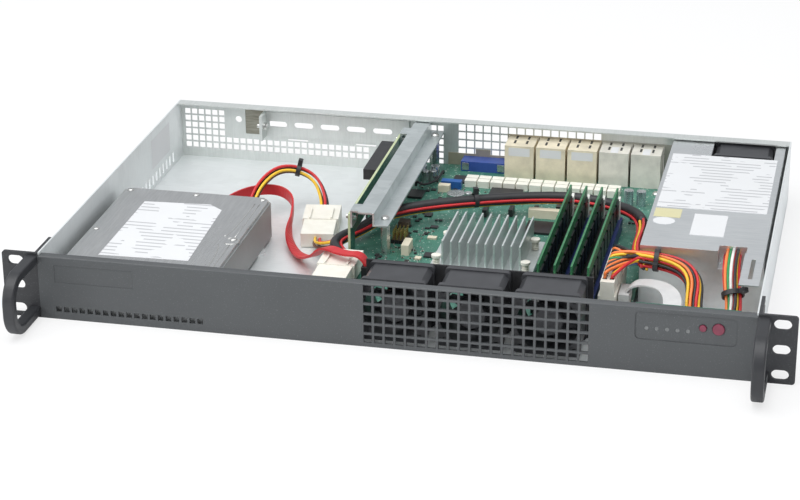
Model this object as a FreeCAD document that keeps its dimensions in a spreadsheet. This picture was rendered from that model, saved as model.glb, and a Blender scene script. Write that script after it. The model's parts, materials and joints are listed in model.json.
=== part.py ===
# Short-depth 1U rack server, shown with its top cover off.
# Millimetres.  X runs across the front, Y from front to back, Z up.
# The origin is the middle of the underside of the whole server, handles included.
# Depths in the formulas are measured back from the face of the front panel.
import FreeCAD, Part
import Sketcher
import math
import os
import re

os.makedirs("parts", exist_ok=True)
doc = FreeCAD.newDocument("rack_server")
Vector = FreeCAD.Vector
Rotation = FreeCAD.Rotation

sizes = {
    # tray and rear panel
    "case_wide": 437.0,
    "case_deep": 287.0,
    "case_tall": 43.0,
    "sheet_thick": 1.0,
    "rear_proud": 0.6,
    "rear_lip": 8.0,
    "side_vent_start": 178.0,
    "side_vent_low": 4.0,
    "side_vent_tall": 7.0,
    "side_vent_wide": 3.0,
    "side_vent_pitch": 7.6,
    "side_vent_count": 12,
    "ear_screw_back": 14.0,
    "ear_screw_step": 10.5,
    # small square vents of the rear panel
    "mesh_left": -212.6,
    "mesh_low": 9.9,
    "mesh_pitch": 5.08,
    "mesh_hole": 4.1,
    "mesh_columns": 6,
    "mesh_rows": 6,
    "mesh_run": 21,
    "strip_left": -36.2,
    "strip_columns": 3,
    # larger square vents above the ports
    "port_vent_left": -10.6,
    "port_vent_high": 37.0,
    "port_vent_pitch": 6.0,
    "port_vent_hole": 5.1,
    "port_vent_columns": 6,
    "port_vent_rows": 4,
    "port_vent_run": 11,
    # expansion slot window and its cover
    "lug_left": -169.4,
    "lug_wide": 14.0,
    "slot_right": -48.5,
    "slot_low": 21.0,
    "slot_tall": 18.4,
    "window_margin": 3.0,
    "cover_hole_long": 14.0,
    "cover_hole_wide": 4.2,
    "cover_hole_left": -145.2,
    "cover_hole_pitch": 19.3,
    "cover_hole_count": 5,
    "slit_long": 15.0,
    "slit_wide": 1.4,
    "slit_high": 18.4,
    "slit_left": -130.6,
    "slit_step": 50.2,
    "peg_hole_at": -174.5,
    "peg_hole_high": 31.5,
    "peg_hole_r": 2.4,
    # front panel
    "panel_thick": 1.5,
    "panel_tall": 41.3,
    "panel_lip": 5.5,
    "panel_bend": 1.0,
    "grille_left": -11.5,
    "grille_low": 5.2,
    "grille_pitch": 6.5,
    "grille_hole": 5.0,
    "grille_columns": 21,
    "grille_rows": 6,
    "row_left": -206.5,
    "row_low": 6.7,
    "row_pitch": 5.03,
    "row_hole": 3.5,
    "row_count": 19,
    "badge_left": -208.0,
    "badge_low": 24.5,
    "badge_wide": 50.0,
    "badge_tall": 11.5,
    "badge_sink": 0.3,
    "control_left": 148.0,
    "control_low": 20.8,
    "control_wide": 59.0,
    "control_tall": 17.6,
    "control_sink": 0.5,
    "control_round": 3.0,
    "lamp_left": 154.6,
    "lamp_high": 28.0,
    "lamp_pitch": 6.0,
    "lamp_count": 5,
    "lamp_r": 1.3,
    "reset_at": 187.2,
    "reset_r": 2.1,
    "power_at": 196.2,
    "power_r": 3.5,
    "button_high": 30.9,
    "button_proud": 0.9,
    "button_gap": 0.25,
    "button_rim": 0.8,
    "button_travel": 0.8,
    "button_edge": 0.4,
    "control_board_back": 9.0,
    "control_board_low": 6.0,
    "control_board_margin": 1.0,
    "stud_r": 2.4,
    "stud_in": 5.0,
    "switch_side": 6.0,
    "switch_deep": 3.6,
    "header_in": 6.0,
    "header_up": 8.0,
    "header_wide": 26.0,
    "header_deep": 9.0,
    "header_tall": 9.0,
    # ears and handles
    "ear_reach": 22.8,
    "ear_thick": 2.0,
    "ear_return": 26.0,
    "ear_round": 2.0,
    "rack_slots_apart": 465.1,
    "rack_slot_step": 15.875,
    "rack_slot_long": 10.2,
    "rack_slot_wide": 6.4,
    "handle_reach": 42.0,
    "handle_tall": 40.0,
    "handle_band": 6.0,
    "handle_wide": 7.4,
    "handle_round": 17.0,
    "handle_edge": 1.2,
    # hard drive, 3.5 inch
    "drive_left": -213.2,
    "drive_front": 3.0,
    "drive_wide": 101.6,
    "drive_long": 147.0,
    "drive_tall": 26.1,
    "drive_lift": 2.0,
    "lid_thick": 2.0,
    "lid_inset": 1.2,
    "drive_corner": 4.0,
    "dimple_r": 6.0,
    "drive_hole_apart": 95.25,
    "drive_hole_front": 41.3,
    "drive_hole_step": 76.2,
    "lid_screw_in": 5.0,
    "lid_screw_r": 1.1,
    "well_in": 9.0,
    "well_deep": 4.0,
    # motherboard
    "board_left": -53.0,
    "board_wide": 190.5,
    "board_front": 42.5,
    "board_deep": 243.0,
    "board_thick": 1.6,
    "standoff_tall": 6.6,
    "standoff_r": 3.0,
    "board_hole_inset": 6.4,
    "board_hole_middle": 118.0,
    "board_hole_clear": 29.5,
    # memory
    "socket_left": 82.16,
    "socket_pitch": 10.24,
    "socket_count": 4,
    "socket_wide": 6.6,
    "socket_tall": 8.6,
    "socket_floor": 1.0,
    "socket_fit": 0.1,
    "module_long": 133.35,
    "module_tall": 30.0,
    "module_thick": 1.27,
    "module_front": 51.9,
    "chip_wide": 10.5,
    "chip_tall": 12.5,
    "chip_thick": 1.1,
    "chip_pitch": 14.2,
    "chip_count": 9,
    "chip_low": 11.5,
    "latch_thick": 3.4,
    "latch_deep": 4.6,
    "latch_tall": 19.0,
    "latch_pin_r": 1.0,
    "latch_gap": 0.2,
    "latch_lip": 2.6,
    # processor and heat sink
    "sink_left": 13.6,
    "sink_wide": 50.6,
    "sink_front": 96.0,
    "sink_deep": 51.0,
    "sink_tall": 20.0,
    "sink_base": 3.0,
    "sink_margin": 7.6,
    "fin_thick": 1.1,
    "fin_count": 10,
    "chip_lift": 2.0,
    "processor_side": 30.0,
    "pin_inset": 4.2,
    "pin_across": 57.0,
    "pin_front": 0.4,
    "pin_back": 37.8,
    "pin_foot": 1.6,
    "pin_r": 1.4,
    "pin_cap_r": 3.1,
    "pin_cap_tall": 1.6,
    "spring_tall": 6.0,
    "spring_r": 2.5,
    # fans, 40 mm
    "fan_first": 2.4,
    "fan_pitch": 46.5,
    "fan_front": 8.5,
    "fan_side": 40.0,
    "fan_deep": 28.0,
    "fan_flange": 3.6,
    "fan_bore_r": 18.6,
    "fan_waist": 0.8,
    "fan_barrel_corner": 3.0,
    "fan_hole_step": 32.0,
    "fan_hole_r": 1.55,
    "fan_hole_deep": 9.0,
    "fan_corner": 2.4,
    "hub_r": 9.0,
    "hub_long": 22.0,
    "hub_round": 1.2,
    "hub_gap": 0.5,
    "strut_wide": 2.2,
    "strut_deep": 2.6,
    "spindle_r": 1.2,
    "spindle_fit": 0.05,
    "spindle_long": 9.0,
    "blade_count": 7,
    "blade_gap": 0.6,
    "blade_chord": 15.0,
    "blade_thick": 0.9,
    "blade_root": 58.0,
    "blade_tip": 36.0,
    "holder_thick": 1.2,
    "holder_margin": 3.0,
    "holder_foot": 5.0,
    # power supply
    "supply_left": 139.0,
    "supply_wide": 76.3,
    "supply_front": 92.0,
    "supply_tall": 40.0,
    "supply_wall": 1.0,
    "supply_rim": 2.0,
    "supply_fan_at": 188.0,
    "supply_opening_wide": 42.0,
    "supply_opening_deep": 32.0,
    "supply_opening_back": 1.0,
    "notch_at": 195.5,
    "notch_wide": 17.0,
    "notch_deep": 9.0,
    "notch_tall": 12.0,
    "tongue_wide": 12.0,
    "tongue_long": 48.0,
    "tongue_slot_long": 30.0,
    "tongue_slot_wide": 2.6,
    "inlet_wide": 20.0,
    "inlet_tall": 28.0,
    "inlet_at": 152.6,
    "inlet_deep": 18.0,
    "inlet_rim": 1.2,
    "inlet_wall": 1.0,
    "inlet_socket": 14.0,
    "inlet_pin_step": 7.0,
    "inlet_pin_out": 2.0,
    "inlet_pin_wide": 4.0,
    "inlet_pin_thick": 2.0,
    # ports
    "port_left": 23.4,
    "port_pitch": 22.0,
    "port_wide": 20.4,
    "port_deep": 21.5,
    "port_tall": 24.4,
    "port_count": 5,
    "mouth_wide": 14.2,
    "mouth_tall": 10.0,
    "mouth_deep": 14.0,
    "mouth_step": 11.9,
    "video_left": -9.0,
    "video_wide": 31.4,
    "video_tall": 7.2,
    "video_deep": 11.5,
    "video_in": 7.4,
    "video_up": 0.6,
    "video_shell_tall": 5.8,
    "port_gap": 0.2,
    "shield_thick": 0.4,
    "shield_left": -20.4,
    "shield_right": 137.6,
    "shield_low": 6.0,
    "shield_over": 1.3,
    "shield_step_at": 22.0,
    "shield_step_high": 18.0,
    "shield_tongue_at": 4.6,
    "shield_tongue_wide": 10.5,
    "shield_tongue_tall": 3.6,
    "shield_margin": 1.0,
    # riser
    "riser_at": -49.5,
    "riser_thick": 1.6,
    "riser_front": 110.0,
    "riser_long": 157.0,
    "riser_top": 38.4,
    "riser_lift": 3.0,
    "riser_arch_start": 12.0,
    "riser_arch_long": 42.0,
    "riser_arch_top": 21.8,
    "socket_edge_wide": 7.4,
    "socket_edge_long": 89.0,
    "socket_edge_tall": 11.2,
    "board_socket_back": 8.0,
    "card_socket_back": 12.0,
    "card_socket_long": 56.0,
    "card_socket_high": 31.0,
    "socket_edge_end": 3.0,
    "board_socket_end": 2.0,
    "bracket_top": 41.2,
    "bracket_thick": 1.2,
    "bracket_shelf": 15.0,
    "bracket_step": 8.0,
    "bracket_flange": 9.0,
    "bracket_gap": 0.4,
    "bracket_ledge": 9.5,
    "bracket_run": 2.0,
    "bracket_tab": 12.0,
    "post_front": 9.8,
    "post_back": 166.0,
    # small parts on the board
    "filter_left": -0.6,
    "filter_front": 244.0,
    "filter_wide": 8.2,
    "filter_deep": 5.6,
    "filter_tall": 4.8,
    "filter_gap": 0.8,
    "filter_pitch": 9.0,
    "filter_count": 12,
    "can_r": 3.2,
    "can_tall": 10.5,
    # main power plug
    "plug_left": 118.8,
    "plug_front": 54.0,
    "plug_wide": 11.0,
    "plug_long": 52.0,
    "plug_base": 12.5,
    "plug_tall": 21.8,
    "plug_step": 1.2,
    "plug_catch": 8.0,
    # plugs of the drive and the inline connectors
    "drive_plug_deep": 12.0,
    "drive_plug_tall": 7.0,
    "drive_plug_low": 5.0,
    "power_plug_left": -146.0,
    "power_plug_wide": 24.0,
    "data_plug_left": -163.0,
    "data_plug_wide": 14.0,
    "board_plug_left": -31.0,
    "board_plug_front": 65.0,
    "board_plug_wide": 5.0,
    "board_plug_deep": 12.0,
    "board_plug_tall": 13.0,
    "front_header_in": 6.5,
    "front_header_front": 60.0,
    "front_header_wide": 5.5,
    "front_header_deep": 16.0,
    "front_header_tall": 8.0,
    "joiner_wide": 24.0,
    "joiner_long": 25.0,
    "joiner_tall": 10.5,
    "joiner_step": 1.2,
    "joiner_turn": 9.0,
    "first_joiner_at": -78.5,
    "first_joiner_front": 138.0,
    "second_joiner_at": -48.0,
    "second_joiner_front": 43.0,
    # leads
    "thin_lead_r": 3.4,
    "bundle_r": 4.2,
    "harness_r": 6.0,
    "control_lead_r": 3.0,
    "ribbon_wide": 7.0,
    "ribbon_thick": 1.6,
    "tie_wide": 3.0,
    "tie_thick": 1.0,
    # fasteners
    "screw_r": 1.5,
    "screw_head_r": 2.8,
    "screw_head_tall": 1.9,
    "screw_long": 5.0,
    "screw_gap": 0.1,
    "big_screw_r": 2.0,
    "big_screw_head_r": 3.3,
    "big_screw_head_tall": 0.9,
    "big_screw_long": 9.0,
    "ear_screw_long": 6.0,
    "lid_screw_long": 4.5,
    "lid_screw_head_r": 2.2,
    "lid_screw_head_tall": 0.8,
}

sheet = doc.addObject("Spreadsheet::Sheet", "Sizes")
for row, (name, size) in enumerate(sizes.items(), 1):
    sheet.set("A%d" % row, name)
    sheet.set("B%d" % row, str(size))
    sheet.setAlias("B%d" % row, name)
scratch = doc.addObject("Spreadsheet::Sheet", "Scratch")
doc.recompute()

# places that several pieces share, as formulas of the sizes
frontLine = "((handle_reach - case_deep - rear_proud) / 2)"
half = "(case_wide / 2)"
floorTop = "sheet_thick"
boardTop = "(sheet_thick + standoff_tall + board_thick)"
rearInside = "(case_deep - sheet_thick)"
driveLow = "(sheet_thick + drive_lift)"
driveTop = "(sheet_thick + drive_lift + drive_tall)"
fanHigh = "(sheet_thick + fan_side / 2)"
fanBack = "(fan_front + fan_deep)"
lugRight = "(lug_left + lug_wide)"
coverScrewBack = "(case_deep - sheet_thick - lug_wide / 2)"
controlStuds = ["control_left + stud_in", "control_left + control_wide - stud_in"]
controlStudHigh = "control_board_low + stud_r + 1"
riserFace = "(riser_at + riser_thick / 2)"
webAt = "(riser_at + riser_thick / 2 + bracket_shelf)"
postAcross = "(%s + bracket_thick + bracket_flange / 2)" % webAt
nodes = []


def formula(text):
    """Names of sizes become cells of the sheet."""
    return re.sub(r"[a-z_]+", lambda word: "Sizes." + word[0] if word[0] in sizes else word[0], text)


def number(text):
    """What a formula comes to."""
    scratch.set("A1", "=" + formula(text))
    scratch.recompute()
    return float(scratch.get("A1"))


def bind(item, **formulas):
    for key, text in formulas.items():
        item.setExpression(key, formula(text))
    return item


def place(item, x="0", y="0", z="0", turn=None, front=frontLine):
    """Put a piece at x, at the depth y behind the front face, and at the height z."""
    if turn:
        item.Placement = FreeCAD.Placement(Vector(), turn)
    item.setExpression("Placement.Base.x", formula(x))
    item.setExpression("Placement.Base.y", formula("%s + (%s)" % (front, y)))
    item.setExpression("Placement.Base.z", formula(z))
    return item


def block(x, y, z, wide, deep, tall, front=frontLine):
    item = doc.addObject("Part::Box", "Block")
    bind(item, Length=wide, Width=deep, Height=tall)
    return place(item, x, y, z, front=front)


def rod(x, y, z, radius, length, axis=Vector(0, 0, 1), front=frontLine):
    item = doc.addObject("Part::Cylinder", "Rod")
    bind(item, Radius=radius, Height=length)
    return place(item, x, y, z, Rotation(Vector(0, 0, 1), axis), front)


def fuse(*items):
    item = doc.addObject("Part::MultiFuse", "Fuse")
    item.Shapes = list(items)
    return item


def group(*items):
    item = doc.addObject("Part::Compound", "Group")
    item.Links = list(items)
    return item


def cut(base, *tools):
    item = doc.addObject("Part::Cut", "Cut")
    item.Base = base
    item.Tool = tools[0] if len(tools) == 1 else fuse(*tools)
    return item


def copyAt(master, x, y, z, turn=None):
    """One more of a piece that is drawn once, about its own centre."""
    return place(group(master), x, y, z, turn)


def publish(node, item):
    item.Label = node
    nodes.append(item)
    return item


def newBody(x="0", y="0", z="0", local=False):
    """A body drawn in the server's frame, or about its own centre when it is local."""
    item = doc.addObject("PartDesign::Body", "Body")
    return item if local else place(item, x, y, z)


def sketch(body, role, offset="0"):
    """A sketch on XZ, YZ or XY, moved along +Y, +X or +Z."""
    item = body.newObject("Sketcher::SketchObject", "Sketch")
    plane = next(one for one in body.Origin.OriginFeatures if one.Role == role + "_Plane")
    item.AttachmentSupport = [(plane, "")]
    item.MapMode = "FlatFace"
    sign = "-" if role == "XZ" else ""
    item.setExpression("AttachmentOffset.Base.z", formula("%s(%s)" % (sign, offset)))
    item.addProperty("App::PropertyString", "Facing")
    item.Facing = role
    return item


def outline(item, points):
    """A closed polygon whose corners are formulas."""
    first = item.GeometryCount
    count = len(points)
    corners = [Vector(number(a), number(b), 0) for a, b in points]
    for index in range(count):
        item.addGeometry(Part.LineSegment(corners[index], corners[(index + 1) % count]))
    for index in range(count):
        after = first + (index + 1) % count
        item.addConstraint(Sketcher.Constraint("Coincident", first + index, 2, after, 1))
    for index, (a, b) in enumerate(points):
        corner = corners[index]
        across = item.addConstraint(
            Sketcher.Constraint("DistanceX", -1, 1, first + index, 1, corner.x))
        upward = item.addConstraint(
            Sketcher.Constraint("DistanceY", -1, 1, first + index, 1, corner.y))
        item.setExpression("Constraints[%d]" % across, formula(a))
        item.setExpression("Constraints[%d]" % upward, formula(b))


def rectangle(item, x, z, wide, tall):
    right = "%s + %s" % (x, wide)
    top = "%s + %s" % (z, tall)
    outline(item, [(x, z), (right, z), (right, top), (x, top)])


def square(item, x, z, side):
    rectangle(item, "%s - %s / 2" % (x, side), "%s - %s / 2" % (z, side), side, side)


def circle(item, x, z, radius):
    index = item.addGeometry(Part.Circle(Vector(number(x), number(z), 0), Vector(0, 0, 1), number(radius)))
    across = item.addConstraint(Sketcher.Constraint("DistanceX", -1, 1, index, 3, number(x)))
    upward = item.addConstraint(Sketcher.Constraint("DistanceY", -1, 1, index, 3, number(z)))
    across_r = item.addConstraint(Sketcher.Constraint("Radius", index, number(radius)))
    item.setExpression("Constraints[%d]" % across, formula(x))
    item.setExpression("Constraints[%d]" % upward, formula(z))
    item.setExpression("Constraints[%d]" % across_r, formula(radius))


def obround(item, x, z, length, wide):
    """A slot with round ends, its length along the sketch's first axis."""
    reach = "(%s - %s) / 2" % (length, wide)
    radius = number(wide) / 2
    centre = Vector(number(x), number(z), 0)
    step = Vector(number(reach), 0, 0)
    up = Vector(0, radius, 0)
    first = item.GeometryCount
    left = Part.Circle(centre - step, Vector(0, 0, 1), radius)
    right = Part.Circle(centre + step, Vector(0, 0, 1), radius)
    item.addGeometry(Part.ArcOfCircle(left, math.pi / 2, 3 * math.pi / 2))
    item.addGeometry(Part.ArcOfCircle(right, -math.pi / 2, math.pi / 2))
    item.addGeometry(Part.LineSegment(centre - step + up, centre + step + up))
    item.addGeometry(Part.LineSegment(centre - step - up, centre + step - up))
    for near, nearEnd, far, farEnd in ((0, 1, 2, 1), (0, 2, 3, 1), (2, 2, 1, 2), (3, 2, 1, 1)):
        item.addConstraint(Sketcher.Constraint("Tangent", first + near, nearEnd, first + far, farEnd))
    item.addConstraint(Sketcher.Constraint("Equal", first, first + 1))
    rules = [("DistanceX", (-1, 1, first, 3), "%s - %s" % (x, reach)),
             ("DistanceY", (-1, 1, first, 3), z),
             ("DistanceX", (-1, 1, first + 1, 3), "%s + %s" % (x, reach)),
             ("DistanceY", (-1, 1, first + 1, 3), z),
             ("Radius", (first,), "%s / 2" % wide)]
    for kind, where, text in rules:
        rule = item.addConstraint(Sketcher.Constraint(kind, *where, number(text)))
        item.setExpression("Constraints[%d]" % rule, formula(text))


def pad(body, drawing, length, backward=False, midplane=False):
    """Grow a sketch towards +X, +Y or +Z, or the other way when backward."""
    item = body.newObject("PartDesign::Pad", "Pad")
    item.Profile = drawing
    item.Midplane = midplane
    item.Reversed = (drawing.Facing == "XZ") != backward
    bind(item, Length=length)
    body.Tip = item
    return item


def pocket(body, drawing, depth=None, backward=False):
    """Cut a sketch right through, or to a depth towards +X, +Y or +Z."""
    item = body.newObject("PartDesign::Pocket", "Pocket")
    item.Profile = drawing
    if depth:
        bind(item, Length=depth)
        item.Reversed = (drawing.Facing == "XZ") == backward
    else:
        item.Type = "ThroughAll"
        item.Midplane = True
    body.Tip = item
    return item


def grid(body, drawing, feature, across, columns, up="0", rows="1"):
    """Repeat a feature along the axes of its sketch."""
    item = body.newObject("PartDesign::MultiTransform", "Grid")
    item.Originals = [feature]
    steps = []
    for axis, pitch, count in (("H_Axis", across, columns), ("V_Axis", up, rows)):
        if number(count) < 2:
            continue
        step = body.newObject("PartDesign::LinearPattern", "Step")
        step.Direction = (drawing, [axis])
        bind(step, Length="%s * (%s - 1)" % (pitch, count), Occurrences=count)
        steps.append(step)
    item.Transformations = steps
    body.Tip = item
    return item


def fillet(body, radius, test):
    """Round the edges of the body whose middle and direction pass the test."""
    doc.recompute()
    base = body.Tip
    names = []
    for index, edge in enumerate(base.Shape.Edges, 1):
        middle = edge.valueAt((edge.FirstParameter + edge.LastParameter) / 2)
        ends = edge.Vertexes
        along = ends[-1].Point - ends[0].Point
        if along.Length > 0.001:
            along.normalize()
        if test(middle, along):
            names.append("Edge%d" % index)
    item = body.newObject("PartDesign::Fillet", "Fillet")
    item.Base = (base, names)
    bind(item, Radius=radius)
    body.Tip = item
    return item


def revolve(body, drawing):
    """Turn a sketch right round its own second axis."""
    item = body.newObject("PartDesign::Revolution", "Revolution")
    item.Profile = drawing
    item.ReferenceAxis = (drawing, ["V_Axis"])
    item.Angle = 360
    body.Tip = item
    return item


def drawScrew(radius, headRadius, headTall, length):
    """A pan-head screw about Z, the underside of its head at the origin."""
    body = newBody(local=True)
    profile = sketch(body, "XZ")
    outline(profile, [("0", "-" + length), (radius, "-" + length), (radius, "0"), (headRadius, "0"),
                      (headRadius, headTall + " / 2"), (headRadius + " * 0.7", headTall),
                      ("0", headTall)])
    revolve(body, profile)
    return body


# ---- case ----

driveHolesAcross = ["drive_left + drive_wide / 2 - drive_hole_apart / 2",
                    "drive_left + drive_wide / 2 + drive_hole_apart / 2"]
driveHolesDeep = ["drive_front + drive_hole_front", "drive_front + drive_hole_front + drive_hole_step"]
earScrewHeights = ["case_tall / 2 - ear_screw_step", "case_tall / 2 + ear_screw_step"]


def makeTray():
    """The floor and both side walls, bent from one sheet."""
    body = newBody()
    profile = sketch(body, "XZ", "panel_thick")
    inner = "%s - sheet_thick" % half
    outline(profile, [("-" + half, "0"), (half, "0"), (half, "case_tall"), (inner, "case_tall"),
                      (inner, floorTop), ("-(%s)" % inner, floorTop),
                      ("-(%s)" % inner, "case_tall"), ("-" + half, "case_tall")])
    pad(body, profile, "case_deep - panel_thick")
    dimples = sketch(body, "XY", floorTop)
    for x in driveHolesAcross:
        for y in driveHolesDeep:
            circle(dimples, x, y, "dimple_r")
    pad(body, dimples, "drive_lift")
    seats = sketch(body, "XY")
    for x in driveHolesAcross:
        for y in driveHolesDeep:
            circle(seats, x, y, "screw_head_r + screw_gap * 2")
    pocket(body, seats, "screw_head_tall + screw_gap")
    holes = sketch(body, "XY")
    for x in driveHolesAcross:
        for y in driveHolesDeep:
            circle(holes, x, y, "screw_r + screw_gap")
    pocket(body, holes)
    vents = sketch(body, "YZ", "-" + half)
    rectangle(vents, "side_vent_start", "side_vent_low", "side_vent_wide", "side_vent_tall")
    first = pocket(body, vents, floorTop)
    grid(body, vents, first, "side_vent_pitch", "side_vent_count")
    bolts = sketch(body, "YZ")
    for z in earScrewHeights:
        circle(bolts, "ear_screw_back", z, "big_screw_r + screw_gap")
    pocket(body, bolts)
    publish("chassis_tray", body)


def makeRearPanel():
    """The rear wall with its bent lip, vents, slot window and port window."""
    body = newBody()
    profile = sketch(body, "YZ")
    lip = "case_deep - rear_lip"
    under = "case_tall - sheet_thick"
    outline(profile, [(rearInside, floorTop), ("case_deep", floorTop), ("case_deep", "case_tall"),
                      (lip, "case_tall"), (lip, under), (rearInside, under)])
    pad(body, profile, "case_wide - 2 * sheet_thick", midplane=True)
    lug = sketch(body, "XZ", "%s - lug_wide + sheet_thick" % rearInside)
    rectangle(lug, lugRight, "slot_low", "sheet_thick", "slot_tall")
    pad(body, lug, "lug_wide - sheet_thick")
    meshes = [("mesh_left", "mesh_low", "mesh_hole", "mesh_pitch", "mesh_columns", "mesh_rows"),
              ("mesh_left + mesh_pitch * mesh_columns", "mesh_low", "mesh_hole", "mesh_pitch",
               "mesh_run", "2"),
              ("strip_left", "mesh_low", "mesh_hole", "mesh_pitch", "strip_columns", "mesh_rows"),
              ("port_vent_left", "port_vent_high - port_vent_pitch * (port_vent_rows - 1)",
               "port_vent_hole", "port_vent_pitch", "port_vent_columns", "port_vent_rows"),
              ("port_vent_left + port_vent_pitch * port_vent_columns", "port_vent_high",
               "port_vent_hole", "port_vent_pitch", "port_vent_run", "1")]
    for x, z, side, pitch, columns, rows in meshes:
        hole = sketch(body, "XZ")
        square(hole, x, z, side)
        grid(body, hole, pocket(body, hole), pitch, columns, pitch, rows)
    openings = sketch(body, "XZ")
    rectangle(openings, "lug_left", "slot_low", "lug_wide", "slot_tall")
    windowLeft = "%s + sheet_thick + window_margin" % lugRight
    rectangle(openings, windowLeft, "slot_low + window_margin",
              "slot_right - window_margin - (%s)" % windowLeft, "slot_tall - 2 * window_margin")
    for step in ("0", "slit_step"):
        rectangle(openings, "slit_left + %s - slit_long / 2" % step, "slit_high - slit_wide / 2",
                  "slit_long", "slit_wide")
    circle(openings, "peg_hole_at", "peg_hole_high", "peg_hole_r")
    outline(openings, shieldOutline("shield_margin"))
    rectangle(openings, "supply_left + supply_rim", "%s + supply_rim" % floorTop,
              "supply_wide - 2 * supply_rim", "supply_tall - 2 * supply_rim")
    pocket(body, openings)
    bolt = sketch(body, "YZ", lugRight)
    circle(bolt, coverScrewBack, "slot_low + slot_tall / 2", "screw_r + screw_gap")
    pocket(body, bolt, "sheet_thick")
    publish("rear_panel", body)


def makeFrontPanel():
    """The painted front with its grille, vents, badge recess and control recess."""
    body = newBody()
    face = sketch(body, "XZ")
    rectangle(face, "-" + half, "0", "case_wide", "panel_tall")
    pad(body, face, "panel_thick")
    lip = sketch(body, "YZ")
    rectangle(lip, "panel_thick", "panel_tall - panel_thick", "panel_lip - panel_thick", "panel_thick")
    pad(body, lip, "case_wide - 2 * sheet_thick", midplane=True)
    studs = sketch(body, "XZ", "panel_thick")
    for x in controlStuds:
        circle(studs, x, controlStudHigh, "stud_r")
    pad(body, studs, "control_board_back - panel_thick")
    control = sketch(body, "XZ")
    rectangle(control, "control_left", "control_low", "control_wide", "control_tall")
    pocket(body, control, "control_sink")
    sunk = number("control_sink / 2")
    left = number("control_left")
    right = left + number("control_wide")

    def recessCorner(middle, along):
        beside = min(abs(middle.x - left), abs(middle.x - right))
        return beside < 0.01 and abs(middle.y - sunk) < 0.01 and abs(along.y) > 0.9

    fillet(body, "control_round", recessCorner)
    top = number("panel_tall")
    fillet(body, "panel_bend", lambda middle, along: abs(middle.y) < 0.01 and abs(middle.z - top) < 0.01)
    grille = sketch(body, "XZ")
    square(grille, "grille_left", "grille_low", "grille_hole")
    grid(body, grille, pocket(body, grille), "grille_pitch", "grille_columns", "grille_pitch", "grille_rows")
    row = sketch(body, "XZ")
    square(row, "row_left", "row_low", "row_hole")
    grid(body, row, pocket(body, row), "row_pitch", "row_count")
    badge = sketch(body, "XZ")
    rectangle(badge, "badge_left", "badge_low", "badge_wide", "badge_tall")
    pocket(body, badge, "badge_sink")
    lamps = sketch(body, "XZ")
    circle(lamps, "lamp_left", "lamp_high", "lamp_r")
    grid(body, lamps, pocket(body, lamps), "lamp_pitch", "lamp_count")
    buttons = sketch(body, "XZ")
    circle(buttons, "reset_at", "button_high", "reset_r + button_gap")
    circle(buttons, "power_at", "button_high", "power_r + button_gap")
    pocket(body, buttons)
    publish("front_panel", body)


handleAt = "(case_wide / 2 + handle_wide / 2)"
handleLegs = ["case_tall / 2 - (handle_tall - handle_band) / 2", "case_tall / 2 + (handle_tall - handle_band) / 2"]


def makeEar(side, sign):
    """A rack ear: a slotted plate with a flange along the outside of the tray."""
    body = newBody()
    plate = sketch(body, "XZ")
    left = half if sign > 0 else "-(%s + ear_reach)" % half
    rectangle(plate, left, "0", "ear_reach", "case_tall")
    pad(body, plate, "ear_thick")
    flange = sketch(body, "XZ")
    flangeLeft = half if sign > 0 else "-(%s + ear_thick)" % half
    rectangle(flange, flangeLeft, "0", "ear_thick", "case_tall")
    pad(body, flange, "ear_return")
    slot = sketch(body, "XZ")
    obround(slot, "%d * rack_slots_apart / 2" % sign, "case_tall / 2 - rack_slot_step",
            "rack_slot_long", "rack_slot_wide")
    grid(body, slot, pocket(body, slot), "0", "1", "rack_slot_step", "3")
    holes = sketch(body, "XZ")
    for z in handleLegs:
        circle(holes, "%d * %s" % (sign, handleAt), z, "big_screw_r + screw_gap")
    pocket(body, holes)
    seats = sketch(body, "XZ", "ear_thick - big_screw_head_tall - screw_gap")
    for z in handleLegs:
        circle(seats, "%d * %s" % (sign, handleAt), z, "big_screw_head_r + screw_gap")
    pocket(body, seats, "ear_thick")
    bolts = sketch(body, "YZ", flangeLeft)
    for z in earScrewHeights:
        circle(bolts, "ear_screw_back", z, "big_screw_r + screw_gap")
    pocket(body, bolts, "ear_thick")
    outer = number("case_wide / 2 + ear_reach")
    fillet(body, "ear_round", lambda middle, along: abs(abs(middle.x) - outer) < 0.01 and abs(along.y) > 0.9)
    publish("rack_ear_" + side, body)


def makeHandle(side, sign):
    """A D-shaped pull bent from one bar, standing on the ear."""
    body = newBody("%d * %s" % (sign, handleAt))
    low = "case_tall / 2 - handle_tall / 2"
    high = "case_tall / 2 + handle_tall / 2"
    profile = sketch(body, "YZ")
    outline(profile, [("0", low), ("-handle_reach", low), ("-handle_reach", high), ("0", high),
                      ("0", high + " - handle_band"), ("handle_band - handle_reach", high + " - handle_band"),
                      ("handle_band - handle_reach", low + " + handle_band"),
                      ("0", low + " + handle_band")])
    pad(body, profile, "handle_wide", midplane=True)
    reach = -number("handle_reach")
    inner = reach + number("handle_band")
    fillet(body, "handle_round", lambda middle, along: abs(middle.y - reach) < 0.01 and abs(along.x) > 0.9)
    fillet(body, "handle_round - handle_band",
           lambda middle, along: abs(middle.y - inner) < 0.01 and abs(along.x) > 0.9)
    edge = number("handle_wide") / 2
    fillet(body, "handle_edge", lambda middle, along: abs(abs(middle.x) - edge) < 0.01 and middle.y < -0.01)
    pilots = sketch(body, "XZ")
    for z in handleLegs:
        circle(pilots, "0", z, "big_screw_r")
    pocket(body, pilots, "big_screw_long - ear_thick + 1", backward=True)
    publish("handle_" + side, body)


# ---- controls behind the front panel ----

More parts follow.
